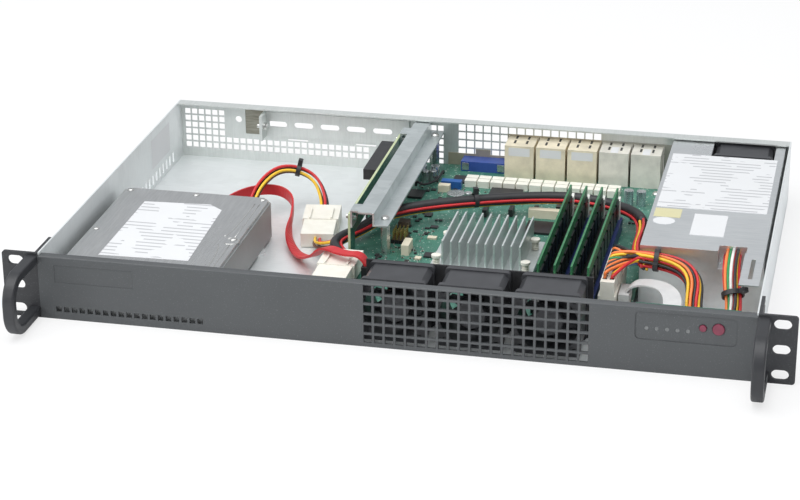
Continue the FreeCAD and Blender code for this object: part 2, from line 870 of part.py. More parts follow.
def makeControls():
    """The small upright board, its switches and lamps, and both buttons."""
    boardFront = "control_board_back"
    left = "(control_left - control_board_margin)"
    wide = "(control_wide + 2 * control_board_margin)"
    board = block(left, boardFront, "control_board_low", wide, "board_thick",
                  "panel_tall - panel_thick - control_board_low - screw_gap * 4")
    header = block("control_left + header_in", boardFront + " + board_thick", "control_board_low + header_up",
                   "header_wide", "header_deep", "header_tall")
    switches = []
    for x in ("reset_at", "power_at"):
        switches.append(block("%s - switch_side / 2" % x, boardFront + " - switch_deep",
                              "button_high - switch_side / 2", "switch_side", "switch_deep", "switch_side"))
    publish("control_board", group(board, header, *switches))
    front = "(control_sink - button_proud)"
    for node, x, radius in (("reset_button", "reset_at", "reset_r"), ("power_button", "power_at", "power_r")):
        body = newBody(x, front, "button_high")
        cap = sketch(body, "XZ")
        circle(cap, "0", "0", radius)
        back = "%s - switch_deep - button_travel - screw_gap - %s" % (boardFront, front)
        pad(body, cap, back)
        rim = sketch(body, "XZ", "panel_thick + screw_gap / 2 - %s" % front)
        circle(rim, "0", "0", radius + " + button_rim")
        pad(body, rim, "button_rim")
        fillet(body, "button_edge", lambda middle, along: abs(middle.y) < 0.01)
        publish(node, body)
    lenses = []
    for index in range(int(number("lamp_count"))):
        lenses.append(rod("lamp_left + %d * lamp_pitch" % index, "control_sink + screw_gap", "lamp_high",
                          "lamp_r - screw_gap / 2", "control_board_back - control_sink - screw_gap",
                          Vector(0, 1, 0)))
    publish("indicator_lenses", group(*lenses))


# ---- hard drive ----

def chamfered(left, front, right, back, corner):
    return [(left + " + " + corner, front), (right + " - " + corner, front), (right, front + " + " + corner),
            (right, back + " - " + corner), (right + " - " + corner, back), (left + " + " + corner, back),
            (left, back + " - " + corner), (left, front + " + " + corner)]


driveRight = "drive_left + drive_wide"
driveBack = "drive_front + drive_long"
lidScrews = [("drive_left + lid_screw_in", driveBack + " - lid_screw_in"),
             ("drive_left + drive_wide / 2", driveBack + " - lid_screw_in"),
             (driveRight + " - lid_screw_in", driveBack + " - lid_screw_in"),
             ("drive_left + lid_screw_in", "drive_front + drive_long / 2"),
             (driveRight + " - lid_screw_in", "drive_front + drive_long / 2"),
             ("drive_left + lid_screw_in", "drive_front + lid_screw_in"),
             (driveRight + " - lid_screw_in", "drive_front + lid_screw_in")]


def makeDrive(screw):
    casting = newBody()
    bottom = sketch(casting, "XY", driveLow)
    outline(bottom, chamfered("drive_left", "drive_front", driveRight, driveBack, "drive_corner"))
    pad(casting, bottom, "drive_tall - lid_thick")
    well = sketch(casting, "XY", driveLow)
    rectangle(well, "drive_left + well_in", "drive_front + drive_long / 3", "drive_wide - 2 * well_in",
              "drive_long * 2 / 3")
    pocket(casting, well, "well_deep")
    threads = sketch(casting, "XY", driveLow)
    for x in driveHolesAcross:
        for y in driveHolesDeep:
            circle(threads, x, y, "screw_r")
    pocket(casting, threads, "screw_long + 2")
    pins = sketch(casting, "XY", driveTop + " - lid_thick")
    for x, y in lidScrews:
        circle(pins, x, y, "lid_screw_r")
    pocket(casting, pins, "lid_screw_long", backward=True)
    publish("drive_casting", casting)

    lid = newBody()
    top = sketch(lid, "XY", driveTop + " - lid_thick")
    inset = " + lid_inset"
    outline(top, chamfered("drive_left" + inset, "drive_front" + inset, driveRight + " - lid_inset",
                           driveBack + " - lid_inset", "drive_corner"))
    for x, y in lidScrews:
        circle(top, x, y, "lid_screw_r")
    pad(lid, top, "lid_thick")
    publish("drive_cover", lid)

    publish("drive_circuit_board",
            block("drive_left + well_in + lid_inset", "drive_front + drive_long / 3 + lid_inset",
                  driveLow + " + well_deep - board_thick", "drive_wide - 2 * well_in - 2 * lid_inset",
                  "drive_long * 2 / 3 - lid_inset", "board_thick"))
    publish("drive_screws", group(*[copyAt(screw, x, y, driveTop) for x, y in lidScrews]))


# ---- motherboard ----

boardHoles = [("board_left + board_hole_inset", "board_front + board_hole_inset"),
              ("board_left + board_wide - board_hole_inset", "board_front + board_hole_inset"),
              ("board_left + board_hole_inset", "board_front + board_hole_middle"),
              ("board_left + board_wide - board_hole_inset", "board_front + board_hole_middle"),
              ("board_left + board_hole_inset", "board_front + board_deep - board_hole_inset"),
              ("board_left + board_wide - board_hole_inset", "board_front + board_deep - board_hole_clear")]
sinkPins = [("sink_left + sink_wide / 2 %s pin_across / 2" % sign, "sink_front - pin_front %s" % back)
            for sign in "-+" for back in ("", "+ pin_back")]
bracketPosts = [(postAcross, "riser_front + post_front"), (postAcross, "riser_front + post_back")]


def makeBoard():
    body = newBody()
    plan = sketch(body, "XY", boardTop + " - board_thick")
    rectangle(plan, "board_left", "board_front", "board_wide", "board_deep")
    for x, y in boardHoles:
        circle(plan, x, y, "screw_r + screw_gap")
    for x, y in sinkPins:
        circle(plan, x, y, "pin_r + screw_gap")
    pad(body, plan, "board_thick")
    publish("motherboard", body)
    posts = [hexPost(x, y, floorTop, "standoff_tall") for x, y in boardHoles]
    tall = "bracket_top - bracket_step - bracket_thick - %s" % boardTop
    posts += [hexPost(x, y, boardTop, tall) for x, y in bracketPosts]
    publish("board_standoffs", group(*posts))


def hexPost(x, y, z, tall):
    post = doc.addObject("Part::Prism", "Post")
    post.Polygon = 6
    bind(post, Circumradius="standoff_r", Height=tall)
    place(post, x, y, z)
    return cut(post, rod(x, y, z, "screw_r", tall))


def makeSink():
    """The processor, the finned heat sink over it, and its sprung pins."""
    low = "(%s + chip_lift)" % boardTop
    middle = "sink_left + sink_wide / 2"
    publish("processor", block(middle + " - processor_side / 2", "sink_front + sink_deep / 2 - processor_side / 2",
                               boardTop, "processor_side", "processor_side", "chip_lift"))
    body = newBody()
    base = sketch(body, "XY", low)
    rectangle(base, "sink_left - sink_margin", "sink_front - pin_front - pin_inset", "sink_wide + 2 * sink_margin",
              "sink_deep + pin_front + pin_inset")
    for x, y in sinkPins:
        circle(base, x, y, "pin_r + screw_gap")
    pad(body, base, "sink_base")
    fins = sketch(body, "XY", low + " + sink_base")
    rectangle(fins, "sink_left", "sink_front", "sink_wide", "sink_deep")
    pad(body, fins, "sink_tall - sink_base")
    gap = "((sink_wide - fin_count * fin_thick) / (fin_count - 1))"
    gaps = sketch(body, "XZ")
    rectangle(gaps, "sink_left + fin_thick", low + " + sink_base", gap, "sink_tall")
    grid(body, gaps, pocket(body, gaps), "(%s + fin_thick)" % gap, "fin_count - 1")
    publish("heatsink", body)

    pin = newBody(local=True)
    profile = sketch(pin, "XZ")
    wave = "(spring_tall / 8)"
    foot = "-(sink_base + chip_lift + board_thick + pin_foot)"
    points = [("0", foot), ("pin_r", foot), ("pin_r", "0")]
    for turn in range(4):
        points.append(("spring_r", "%d * %s" % (2 * turn + 1, wave)))
        if turn < 3:
            points.append(("pin_r", "%d * %s" % (2 * turn + 2, wave)))
    top = "spring_tall + pin_cap_tall"
    points += [("pin_r", "spring_tall"), ("pin_cap_r", "spring_tall"), ("pin_cap_r", top), ("0", top)]
    outline(profile, points)
    revolve(pin, profile)
    publish("heatsink_pins", group(*[copyAt(pin, x, y, low + " + sink_base") for x, y in sinkPins]))


latchPin = "(latch_deep / 2 + socket_floor / 2)"
moduleBack = "module_front + module_long"


def makeMemory():
    """Four upright modules in their sockets, with a swinging latch at both ends of each."""
    ends = "(latch_deep + latch_gap + socket_fit)"
    shell = block("-socket_wide / 2", "-" + ends, "0", "socket_wide", "module_long + 2 * " + ends,
                  "socket_tall", "0")
    slotWide = "(module_thick + 2 * socket_fit)"
    gapWide = "(latch_thick + 2 * socket_fit)"
    hollows = [block("-%s / 2" % slotWide, "-socket_fit", "socket_floor", slotWide,
                     "module_long + 2 * socket_fit", "socket_tall", "0")]
    for y in ("-" + ends, "module_long"):
        hollows.append(block("-%s / 2" % gapWide, y, "0", gapWide, ends, "socket_tall", "0"))
    pinFront = "-(latch_gap + latch_deep / 2)"
    pinBack = "module_long + latch_gap + latch_deep / 2"
    for y in (pinFront, pinBack):
        hollows.append(rod("-socket_wide / 2", y, latchPin, "latch_pin_r + spindle_fit", "socket_wide",
                           Vector(1, 0, 0), "0"))
    socket = cut(shell, *hollows)
    across = ["socket_left + %d * socket_pitch" % index for index in range(int(number("socket_count")))]
    publish("memory_sockets", group(*[copyAt(socket, x, "module_front", boardTop) for x in across]))

    pieces = [block("-module_thick / 2", "0", "0", "module_thick", "module_long", "module_tall", "0")]
    start = "(module_long - chip_pitch * (chip_count - 1) - chip_wide) / 2"
    for index in range(int(number("chip_count"))):
        for x in ("-module_thick / 2 - chip_thick", "module_thick / 2"):
            pieces.append(block(x, "%s + %d * chip_pitch" % (start, index), "chip_low", "chip_thick",
                                "chip_wide", "chip_tall", "0"))
    module = fuse(*pieces)
    publish("memory_modules",
            group(*[copyAt(module, x, "module_front", boardTop + " + socket_floor") for x in across]))

    lever = newBody(local=True)
    profile = sketch(lever, "YZ")
    reach = "latch_deep / 2"
    outline(profile, [("-" + reach, "0"), (reach, "0"), (reach, "latch_tall"), ("0", "latch_tall"),
                      ("-latch_lip", "latch_tall + latch_lip / 2"), ("-latch_lip - 1", "latch_tall - 1"),
                      ("-" + reach, "latch_tall - latch_lip * 2")])
    pad(lever, profile, "latch_thick", midplane=True)
    for radius, wide in ((reach, "latch_thick"), ("latch_pin_r", "socket_wide")):
        round_ = sketch(lever, "YZ")
        circle(round_, "0", "0", radius)
        pad(lever, round_, wide, midplane=True)
    height = "%s + %s" % (boardTop, latchPin)
    for index, x in enumerate(across):
        publish("memory_latch_%d" % (2 * index + 1), copyAt(lever, x, "module_front + " + pinFront, height))
        publish("memory_latch_%d" % (2 * index + 2),
                copyAt(lever, x, "module_front + " + pinBack, height, Rotation(Vector(0, 0, 1), 180)))


# ---- fans ----

def drawFanFrame():
    """A square 40 mm fan frame: two flanges, a closed body, and the struts that hold the motor."""
    body = newBody(local=True)
    for start, deep in (("0", "fan_flange"), ("fan_deep - fan_flange", "fan_flange")):
        flange = sketch(body, "XZ", start)
        square(flange, "0", "0", "fan_side")
        pad(body, flange, deep)
        if start == "0":
            barrel = sketch(body, "XZ")
            edge = "(fan_side / 2 - fan_waist)"
            outline(barrel, chamfered("-" + edge, "-" + edge, edge, edge, "fan_barrel_corner"))
            pad(body, barrel, "fan_deep")
    side = number("fan_side / 2")
    fillet(body, "fan_corner", lambda middle, along: abs(along.y) > 0.9 and
           abs(abs(middle.x) - side) < 0.01 and abs(abs(middle.z) - side) < 0.01)
    bore = sketch(body, "XZ")
    circle(bore, "0", "0", "fan_bore_r")
    pocket(body, bore)
    for start, backward in (("0", False), ("fan_deep", True)):
        holes = sketch(body, "XZ", start)
        for x in ("-fan_hole_step / 2", "fan_hole_step / 2"):
            for z in ("-fan_hole_step / 2", "fan_hole_step / 2"):
                circle(holes, x, z, "fan_hole_r")
        pocket(body, holes, "fan_hole_deep", backward)
    for wide, tall in (("2 * fan_bore_r + 1", "strut_wide"), ("strut_wide", "2 * fan_bore_r + 1")):
        strut = sketch(body, "XZ", "fan_deep - strut_deep")
        rectangle(strut, "-(%s) / 2" % wide, "-(%s) / 2" % tall, wide, tall)
        pad(body, strut, "strut_deep")
    motor = sketch(body, "XZ", "fan_deep - strut_deep")
    circle(motor, "0", "0", "hub_r")
    pad(body, motor, "strut_deep")
    spindle = sketch(body, "XZ", "fan_deep - strut_deep")
    circle(spindle, "0", "0", "spindle_r")
    pad(body, spindle, "spindle_long", backward=True)
    return body


def drawRotor():
    """A fan rotor about the Y axis: a cupped hub and twisted blades lofted from root to tip."""
    body = newBody(local=True)
    back = "(fan_deep - strut_deep - hub_gap)"
    hub = sketch(body, "XZ", back + " - hub_long")
    circle(hub, "0", "0", "hub_r")
    pad(body, hub, "hub_long")
    front = number(back + " - hub_long")
    fillet(body, "hub_round", lambda middle, along: abs(middle.y - front) < 0.01)
    middle = "(%s - hub_long / 2)" % back
    tipAt = "sqrt((fan_bore_r - blade_gap)^2 - (blade_chord / 2 + blade_thick)^2)"
    sections = []
    for offset, angle in (("hub_r * 0.55", "blade_root"), (tipAt, "blade_tip")):
        section = sketch(body, "YZ", offset)
        corners = []
        for chord, thick in ((-1, -1), (1, -1), (1, 1), (-1, 1)):
            y = "%s + %d * blade_chord / 2 * cos(%s) - %d * blade_thick / 2 * sin(%s)" % (
                middle, chord, angle, thick, angle)
            z = "%d * blade_chord / 2 * sin(%s) + %d * blade_thick / 2 * cos(%s)" % (chord, angle, thick, angle)
            corners.append((y, z))
        outline(section, corners)
        sections.append(section)
    blade = body.newObject("PartDesign::AdditiveLoft", "Blade")
    blade.Profile = sections[0]
    blade.Sections = [sections[1]]
    blade.Ruled = True
    body.Tip = blade
    doc.recompute()
    ring = body.newObject("PartDesign::PolarPattern", "Blades")
    ring.Originals = [blade]
    ring.Axis = (next(one for one in body.Origin.OriginFeatures if one.Role == "Y_Axis"), [""])
    ring.Angle = 360
    bind(ring, Occurrences="blade_count")
    body.Tip = ring
    bore = sketch(body, "XZ", back)
    circle(bore, "0", "0", "spindle_r + spindle_fit")
    pocket(body, bore, "spindle_long - hub_gap + 1", backward=True)
    return body


def fanAcross(index):
    return "fan_first + %d * fan_pitch" % index


def makeFans(frame, rotor):
    publish("fan_frames", group(*[copyAt(frame, fanAcross(index), "fan_front", fanHigh) for index in range(3)]))
    for index in range(3):
        publish("fan_rotor_%d" % (index + 1), copyAt(rotor, fanAcross(index), "fan_front", fanHigh))
    holder = newBody()
    wall = sketch(holder, "XZ", fanBack)
    rectangle(wall, "fan_first - fan_side / 2 - holder_margin", floorTop,
              "2 * fan_pitch + fan_side + 2 * holder_margin", "fan_side")
    pad(holder, wall, "holder_thick")
    foot = sketch(holder, "XZ", fanBack)
    rectangle(foot, "fan_first - fan_side / 2 - holder_margin", floorTop,
              "2 * fan_pitch + fan_side + 2 * holder_margin", "holder_thick")
    pad(holder, foot, "holder_foot")
    for index in range(3):
        bore = sketch(holder, "XZ")
        circle(bore, fanAcross(index), fanHigh, "fan_bore_r")
        for x, z in fanBolts:
            circle(bore, "%s + %s" % (fanAcross(index), x), "%s + %s" % (fanHigh, z), "screw_r + screw_gap")
        pocket(holder, bore)
    publish("fan_holder", holder)


fanBolts = [("fan_hole_step / 2", "fan_hole_step / 2"), ("-fan_hole_step / 2", "-fan_hole_step / 2")]


# ---- power supply ----

supplyTop = "(sheet_thick + supply_tall)"
supplyRight = "(supply_left + supply_wide)"
supplyOpening = "(%s - supply_opening_back - supply_opening_deep)" % rearInside


def makeSupply(frame, rotor):
    """The closed steel case with its fan well and tongue, its fan, and the mains inlet."""
    body = newBody()
    case = sketch(body, "XZ", "supply_front")
    rectangle(case, "supply_left", floorTop, "supply_wide", "supply_tall")
    pad(body, case, rearInside + " - supply_front")
    well = sketch(body, "XY")
    rectangle(well, "supply_fan_at - supply_opening_wide / 2", supplyOpening, "supply_opening_wide",
              "supply_opening_deep")
    pocket(body, well)
    notch = sketch(body, "XZ", "supply_front")
    rectangle(notch, "notch_at - notch_wide / 2", supplyTop + " - notch_tall", "notch_wide", "notch_tall")
    pocket(body, notch, "notch_deep")
    exhaust = sketch(body, "XZ", rearInside + " - supply_wall")
    circle(exhaust, "supply_fan_at", fanHigh, "fan_bore_r")
    pocket(body, exhaust, "supply_wall")
    socket = sketch(body, "XZ", rearInside + " - supply_wall - inlet_deep")
    rectangle(socket, "inlet_at - inlet_wide / 2 + inlet_rim", "%s - inlet_tall / 2 + inlet_rim" % fanHigh,
              "inlet_wide - 2 * inlet_rim", "inlet_tall - 2 * inlet_rim")
    pocket(body, socket, "inlet_deep + supply_wall")
    tongue = sketch(body, "XY", supplyTop + " - supply_wall")
    rectangle(tongue, supplyRight + " - tongue_wide", "supply_front - tongue_long", "tongue_wide", "tongue_long")
    rectangle(tongue, "%s - tongue_wide / 2 - tongue_slot_wide / 2" % supplyRight,
              "supply_front - tongue_long / 2 - tongue_slot_long / 2", "tongue_slot_wide", "tongue_slot_long")
    pad(body, tongue, "supply_wall")
    publish("supply_case", body)
    fanFront = "%s - supply_wall - fan_deep" % rearInside
    publish("supply_fan_frame", copyAt(frame, "supply_fan_at", fanFront, fanHigh))
    publish("supply_fan_rotor", copyAt(rotor, "supply_fan_at", fanFront, fanHigh))
    inlet = newBody()
    core = sketch(inlet, "XZ", rearInside + " - supply_wall - inlet_deep")
    rectangle(core, "inlet_at - inlet_wide / 2 + inlet_rim", "%s - inlet_tall / 2 + inlet_rim" % fanHigh,
              "inlet_wide - 2 * inlet_rim", "inlet_tall - 2 * inlet_rim")
    pad(inlet, core, "inlet_deep + supply_wall")
    rim = sketch(inlet, "XZ", rearInside)
    rectangle(rim, "inlet_at - inlet_wide / 2", "%s - inlet_tall / 2" % fanHigh, "inlet_wide", "inlet_tall")
    pad(inlet, rim, "sheet_thick + rear_proud")
    mouth = sketch(inlet, "XZ", "case_deep + rear_proud - inlet_socket")
    wide = "(inlet_wide - 2 * inlet_rim - 2 * inlet_wall)"
    tall = "(inlet_tall - 2 * inlet_rim - 2 * inlet_wall)"
    left, right = "(inlet_at - %s / 2)" % wide, "(inlet_at + %s / 2)" % wide
    low, high = "(%s - %s / 2)" % (fanHigh, tall), "(%s + %s / 2)" % (fanHigh, tall)
    corner = "(%s / 4)" % wide
    outline(mouth, [(left, low), ("%s - %s" % (right, corner), low), (right, "%s + %s" % (low, corner)),
                    (right, "%s - %s" % (high, corner)), ("%s - %s" % (right, corner), high), (left, high)])
    pocket(inlet, mouth, "inlet_socket")
    blades = sketch(inlet, "XZ", "case_deep + rear_proud - inlet_socket")
    for x, z in (("-inlet_pin_out", "-inlet_pin_step"), ("-inlet_pin_out", "inlet_pin_step"), ("inlet_pin_out", "0")):
        rectangle(blades, "inlet_at + %s - inlet_pin_wide / 2" % x, "%s + %s - inlet_pin_thick / 2" % (fanHigh, z),
                  "inlet_pin_wide", "inlet_pin_thick")
    pad(inlet, blades, "inlet_socket - 2")
    publish("supply_inlet", inlet)


# ---- rear ports ----

def shieldOutline(margin, tongue=False):
    """The stepped outline of the port shield, low beside the video port and high over the others."""
    left, right = "shield_left + " + margin, "shield_right - " + margin
    low, high = "shield_low + " + margin, "%s + port_tall + shield_over - %s" % (boardTop, margin)
    step = "shield_step_at + " + margin
    middle = "shield_step_high - 2 * " + margin
    points = [(left, low), (right, low), (right, high), (step, high), (step, middle), (left, middle)]
    if tongue:
        top = middle + " + shield_tongue_tall"
        start, end = "shield_tongue_at - shield_tongue_wide / 2", "shield_tongue_at + shield_tongue_wide / 2"
        points[5:5] = [(end, middle), (end, top), (start, top), (start, middle)]
    return points


def makePorts():
    body = newBody()
    plate = sketch(body, "XZ", rearInside + " - shield_thick")
    outline(plate, shieldOutline("0", tongue=True))
    pad(body, plate, "shield_thick")
    holes = sketch(body, "XZ")
    rectangle(holes, "port_left - port_gap", boardTop + " - port_gap", "port_wide + 2 * port_gap",
              "port_tall + 2 * port_gap")
    grid(body, holes, pocket(body, holes), "port_pitch", "port_count")
    video = sketch(body, "XZ")
    rectangle(video, "video_left + video_in - port_gap", boardTop + " + video_up - port_gap",
              "video_wide - 2 * video_in + 2 * port_gap", "video_shell_tall + 2 * port_gap")
    pocket(body, video)
    publish("port_shield", body)

    shell = block("0", "0", "0", "port_wide", "port_deep", "port_tall", "0")
    mouths = []
    for z in ("port_tall / 2 - mouth_step / 2 - mouth_tall / 2", "port_tall / 2 + mouth_step / 2 - mouth_tall / 2"):
        mouths.append(block("port_wide / 2 - mouth_wide / 2", "port_deep - mouth_deep", z, "mouth_wide",
                            "mouth_deep", "mouth_tall", "0"))
    socket = cut(shell, *mouths)
    publish("network_ports", group(*[copyAt(socket, "port_left + %d * port_pitch" % index,
                                            "case_deep + rear_proud - port_deep", boardTop)
                                     for index in range(int(number("port_count")))]))

    port = newBody()
    base = sketch(port, "XZ", rearInside + " - shield_thick - video_deep")
    rectangle(base, "video_left", boardTop, "video_wide", "video_tall")
    pad(port, base, "video_deep")
    front = sketch(port, "XZ", rearInside + " - shield_thick")
    taper = "video_shell_tall / 6"
    left, right = "video_left + video_in", "video_left + video_wide - video_in"
    low = boardTop + " + video_up"
    outline(front, [(left + " + " + taper, low), ("%s - %s" % (right, taper), low), (right, low + " + video_shell_tall"),
                    (left, low + " + video_shell_tall")])
    pad(port, front, "shield_thick + sheet_thick + rear_proud")
    publish("video_port", port)


# ---- riser, bracket and slot cover ----

def makeRiser():
    card = newBody()
    side = sketch(card, "YZ", "riser_at - riser_thick / 2")
    archFront = "riser_front + riser_arch_start"
    archBack = archFront + " + riser_arch_long"
    end = "riser_front + riser_long"
    outline(side, [("riser_front", boardTop), (archFront, boardTop), (archFront, "riser_arch_top"),
                   (archBack, "riser_arch_top"), (archBack, boardTop + " + riser_lift"),
                   (end, boardTop + " + riser_lift"), (end, "riser_top"), ("riser_front", "riser_top")])
    for y in riserBolts:
        circle(side, y, riserBoltHigh, "screw_r + screw_gap")
    pad(card, side, "riser_thick")
    publish("riser_card", card)

    lowSocket = cut(block("riser_at - socket_edge_wide / 2", end + " - board_socket_back - socket_edge_long",
                          boardTop, "socket_edge_wide", "socket_edge_long + board_socket_back - board_socket_end",
                          "socket_edge_tall"),
                    block("riser_at - riser_thick / 2 - socket_fit", archBack, boardTop + " + riser_lift",
                          "riser_thick + 2 * socket_fit", "riser_long", "socket_edge_tall"))
    back = end + " - card_socket_back - card_socket_long"
    sideways = cut(block("riser_at - riser_thick / 2 - socket_edge_tall", back,
                         "card_socket_high - socket_edge_wide / 2", "socket_edge_tall", "card_socket_long",
                         "socket_edge_wide"),
                   block("riser_at - riser_thick / 2 - socket_edge_tall", back + " + socket_edge_end",
                         "card_socket_high - riser_thick / 2 - socket_fit", "socket_edge_tall - riser_lift",
                         "card_socket_long - 2 * socket_edge_end", "riser_thick + 2 * socket_fit"))
    publish("card_sockets", group(lowSocket, sideways))


bracketEnd = "(case_deep - sheet_thick - bracket_gap)"
riserBolts = ["riser_front + bracket_tab / 2", "riser_front + riser_long - bracket_tab / 2"]
riserBoltHigh = "bracket_top - bracket_step + 1.6"


def makeBracket():
    """The stepped steel rail along the riser, on two posts, with a tab at each end screwed to the riser."""
    rail = newBody()
    low = "bracket_top - bracket_step"
    profile = sketch(rail, "XZ", "riser_front - bracket_run")
    webBack = webAt + " + bracket_thick"
    outline(profile, [(webAt + " - bracket_ledge", "bracket_top - bracket_thick"),
                      (webAt, "bracket_top - bracket_thick"), (webAt, low + " - bracket_thick"),
                      (webBack + " + bracket_flange", low + " - bracket_thick"),
                      (webBack + " + bracket_flange", low), (webBack, low), (webBack, "bracket_top"),
                      (webAt + " - bracket_ledge", "bracket_top")])
    pad(rail, profile, "%s - riser_front + bracket_run" % bracketEnd)
    for start in ("riser_front", "riser_front + riser_long - bracket_tab"):
        tab = sketch(rail, "XZ", start)
        outline(tab, [(riserFace, low + " - bracket_tab / 3"), (riserFace + " + bracket_thick", low + " - bracket_tab / 3"),
                      (riserFace + " + bracket_thick", "bracket_top - bracket_thick"),
                      (webAt + " - bracket_ledge", "bracket_top - bracket_thick"),
                      (webAt + " - bracket_ledge", "bracket_top"), (riserFace, "bracket_top")])
        pad(rail, tab, "bracket_tab")
    bolts = sketch(rail, "YZ", riserFace)
    for y in riserBolts:
        circle(bolts, y, riserBoltHigh, "screw_r + screw_gap")
    pocket(rail, bolts, "bracket_thick")
    holes = sketch(rail, "XY")
    for x, y in bracketPosts:
        circle(holes, x, y, "screw_r + screw_gap")
    pocket(rail, holes)
    publish("riser_bracket", rail)


def makeSlotCover():
    """The plate over the unused card slot, held by a screw through its bent end."""
    body = newBody()
    plan = sketch(body, "XY", "slot_low")
    face = lugRight + " + sheet_thick"
    inner = rearInside + " - sheet_thick"
    tab = rearInside + " - lug_wide + sheet_thick"
    outline(plan, [(face, rearInside), ("slot_right", rearInside), ("slot_right", inner),
                   (face + " + sheet_thick", inner), (face + " + sheet_thick", tab), (face, tab)])
    pad(body, plan, "slot_tall")
    holes = sketch(body, "XZ")
    obround(holes, "cover_hole_left", "slot_low + slot_tall / 2", "cover_hole_long", "cover_hole_wide")
    grid(body, holes, pocket(body, holes), "cover_hole_pitch", "cover_hole_count")
    bolt = sketch(body, "YZ", face)
    circle(bolt, coverScrewBack, "slot_low + slot_tall / 2", "screw_r + screw_gap")
    pocket(body, bolt, "sheet_thick")
    publish("slot_cover", body)


# ---- fasteners ----

def makeScrews(pan, flat, short):
    """Every screw, each kind drawn once and set out where it holds."""
    screws = [copyAt(pan, x, y, boardTop) for x, y in boardHoles]
    screws += [copyAt(pan, x, y, "bracket_top - bracket_step") for x, y in bracketPosts]
    left, right = Rotation(Vector(0, 1, 0), 90), Rotation(Vector(0, 1, 0), -90)
    screws += [copyAt(pan, riserFace + " + bracket_thick", y, riserBoltHigh, left) for y in riserBolts]
    screws.append(copyAt(pan, lugRight + " + 2 * sheet_thick", coverScrewBack, "slot_low + slot_tall / 2", left))
    turnOver = Rotation(Vector(1, 0, 0), 180)
    screws += [copyAt(pan, x, y, "screw_head_tall + screw_gap", turnOver)
               for x in driveHolesAcross for y in driveHolesDeep]
    backward = Rotation(Vector(1, 0, 0), -90)
    screws += [copyAt(pan, "%s + %s" % (fanAcross(index), x), fanBack + " + holder_thick",
                      "%s + %s" % (fanHigh, z), backward) for index in range(3) for x, z in fanBolts]
    publish("machine_screws", group(*screws))
    handleScrews = []
    earScrews = []
    for sign, turn in ((1, left), (-1, right)):
        handleScrews += [copyAt(flat, "%d * %s" % (sign, handleAt), "ear_thick - big_screw_head_tall - screw_gap / 2",
                                z, backward) for z in handleLegs]
        earScrews += [copyAt(short, "%d * (%s + ear_thick)" % (sign, half), "ear_screw_back", z, turn)
                      for z in earScrewHeights]
    publish("handle_screws", group(*handleScrews))
    publish("ear_screws", group(*earScrews))


# ---- small parts on the motherboard ----

def makeSmallParts():
    blocks = []
    for row in ("0", "filter_deep + filter_gap"):
        for index in range(int(number("filter_count"))):
            blocks.append(block("filter_left + %d * filter_pitch" % index, "filter_front + " + row, boardTop,
                                "filter_wide", "filter_deep", "filter_tall"))
    publish("line_filters", group(*blocks))
    cans = [rod(x, y, boardTop, "can_r", "can_tall") for x, y in canPlaces]
    publish("capacitors", group(*cans))
    header = block("plug_left", "plug_front", boardTop, "plug_wide", "plug_long", "plug_base")
    plug = block("plug_left + plug_step", "plug_front", boardTop + " + plug_base", "plug_wide - 2 * plug_step",
                 "plug_long", "plug_tall - plug_base")
    catch = block("plug_left + plug_wide - plug_step", "plug_front + plug_long / 2 - plug_catch / 2",
                  boardTop + " + plug_base", "plug_step", "plug_catch", "plug_tall - plug_base - 2")
    publish("main_power_plug", group(header, fuse(plug, catch)))


canPlaces = [("board_left + 167.5", "board_front + 192"), ("board_left + 176", "board_front + 192"),
             ("board_left + 21", "board_front + 210"), ("board_left + 30", "board_front + 211")]


# ---- plugs and inline connectors ----

joinerLow = "(%s + screw_head_tall)" % boardTop


def makePlugs():
    """The drive's two plugs with the data plug on the board, and two pairs of inline connectors."""
    plugs = []
    for left, wide in (("power_plug_left", "power_plug_wide"), ("data_plug_left", "data_plug_wide")):
        plugs.append(block(left, driveBack, "drive_plug_low", wide, "drive_plug_deep", "drive_plug_tall"))
    plugs.append(block("board_left + board_wide - front_header_in", "front_header_front", boardTop,
                       "front_header_wide", "front_header_deep", "front_header_tall"))
    plugs.append(block("board_plug_left", "board_plug_front", boardTop, "board_plug_wide", "board_plug_deep",
                       "board_plug_tall"))
    publish("data_and_power_plugs", group(*plugs))
    narrow = block("-joiner_wide / 2 + joiner_step", "0", "joiner_step / 2", "joiner_wide - 2 * joiner_step",
                   "joiner_long", "joiner_tall - joiner_step", "0")
    broad = block("-joiner_wide / 2", "joiner_long", "0", "joiner_wide", "joiner_long", "joiner_tall", "0")
    rails = [block("%s * joiner_wide / 2 - joiner_step / 2" % side, "joiner_long", "joiner_tall",
                   "joiner_step", "joiner_long * 2 / 3", "joiner_step", "0") for side in ("-0.6", "0.6")]
    pair = group(narrow, fuse(broad, *rails))
    turn = Rotation(Vector(0, 0, 1), number("joiner_turn"))
    publish("inline_connectors",
            group(copyAt(pair, "first_joiner_at", "first_joiner_front", floorTop, turn),
                  copyAt(pair, "second_joiner_at", "second_joiner_front", joinerLow)))


# ---- leads ----

def spots(points):
    return [Vector(*[number(one) for one in point]) for point in points]


def route(corners):
    """Straight runs joined by arcs that meet them square on, as one wire."""
    edges = []
    start = corners[0]
    for before, corner, after in zip(corners, corners[1:], corners[2:]):
        into, out = corner - before, after - corner
        halfTurn = into.getAngle(out) / 2
        trim = 0.45 * min(into.Length, out.Length)
        radius = trim / math.tan(halfTurn)
        first = corner - into.normalize() * trim
        last = corner + out.normalize() * trim
        inward = ((first + last) / 2 - corner).normalize()
        middle = corner + inward * (radius / math.cos(halfTurn) - radius)
        edges.append(Part.LineSegment(start, first).toShape())
        edges.append(Part.Arc(first, middle, last).toShape())
        start = last
        print("bend radius %.1f" % radius)
    edges.append(Part.LineSegment(start, corners[-1]).toShape())
    return Part.Wire(edges)


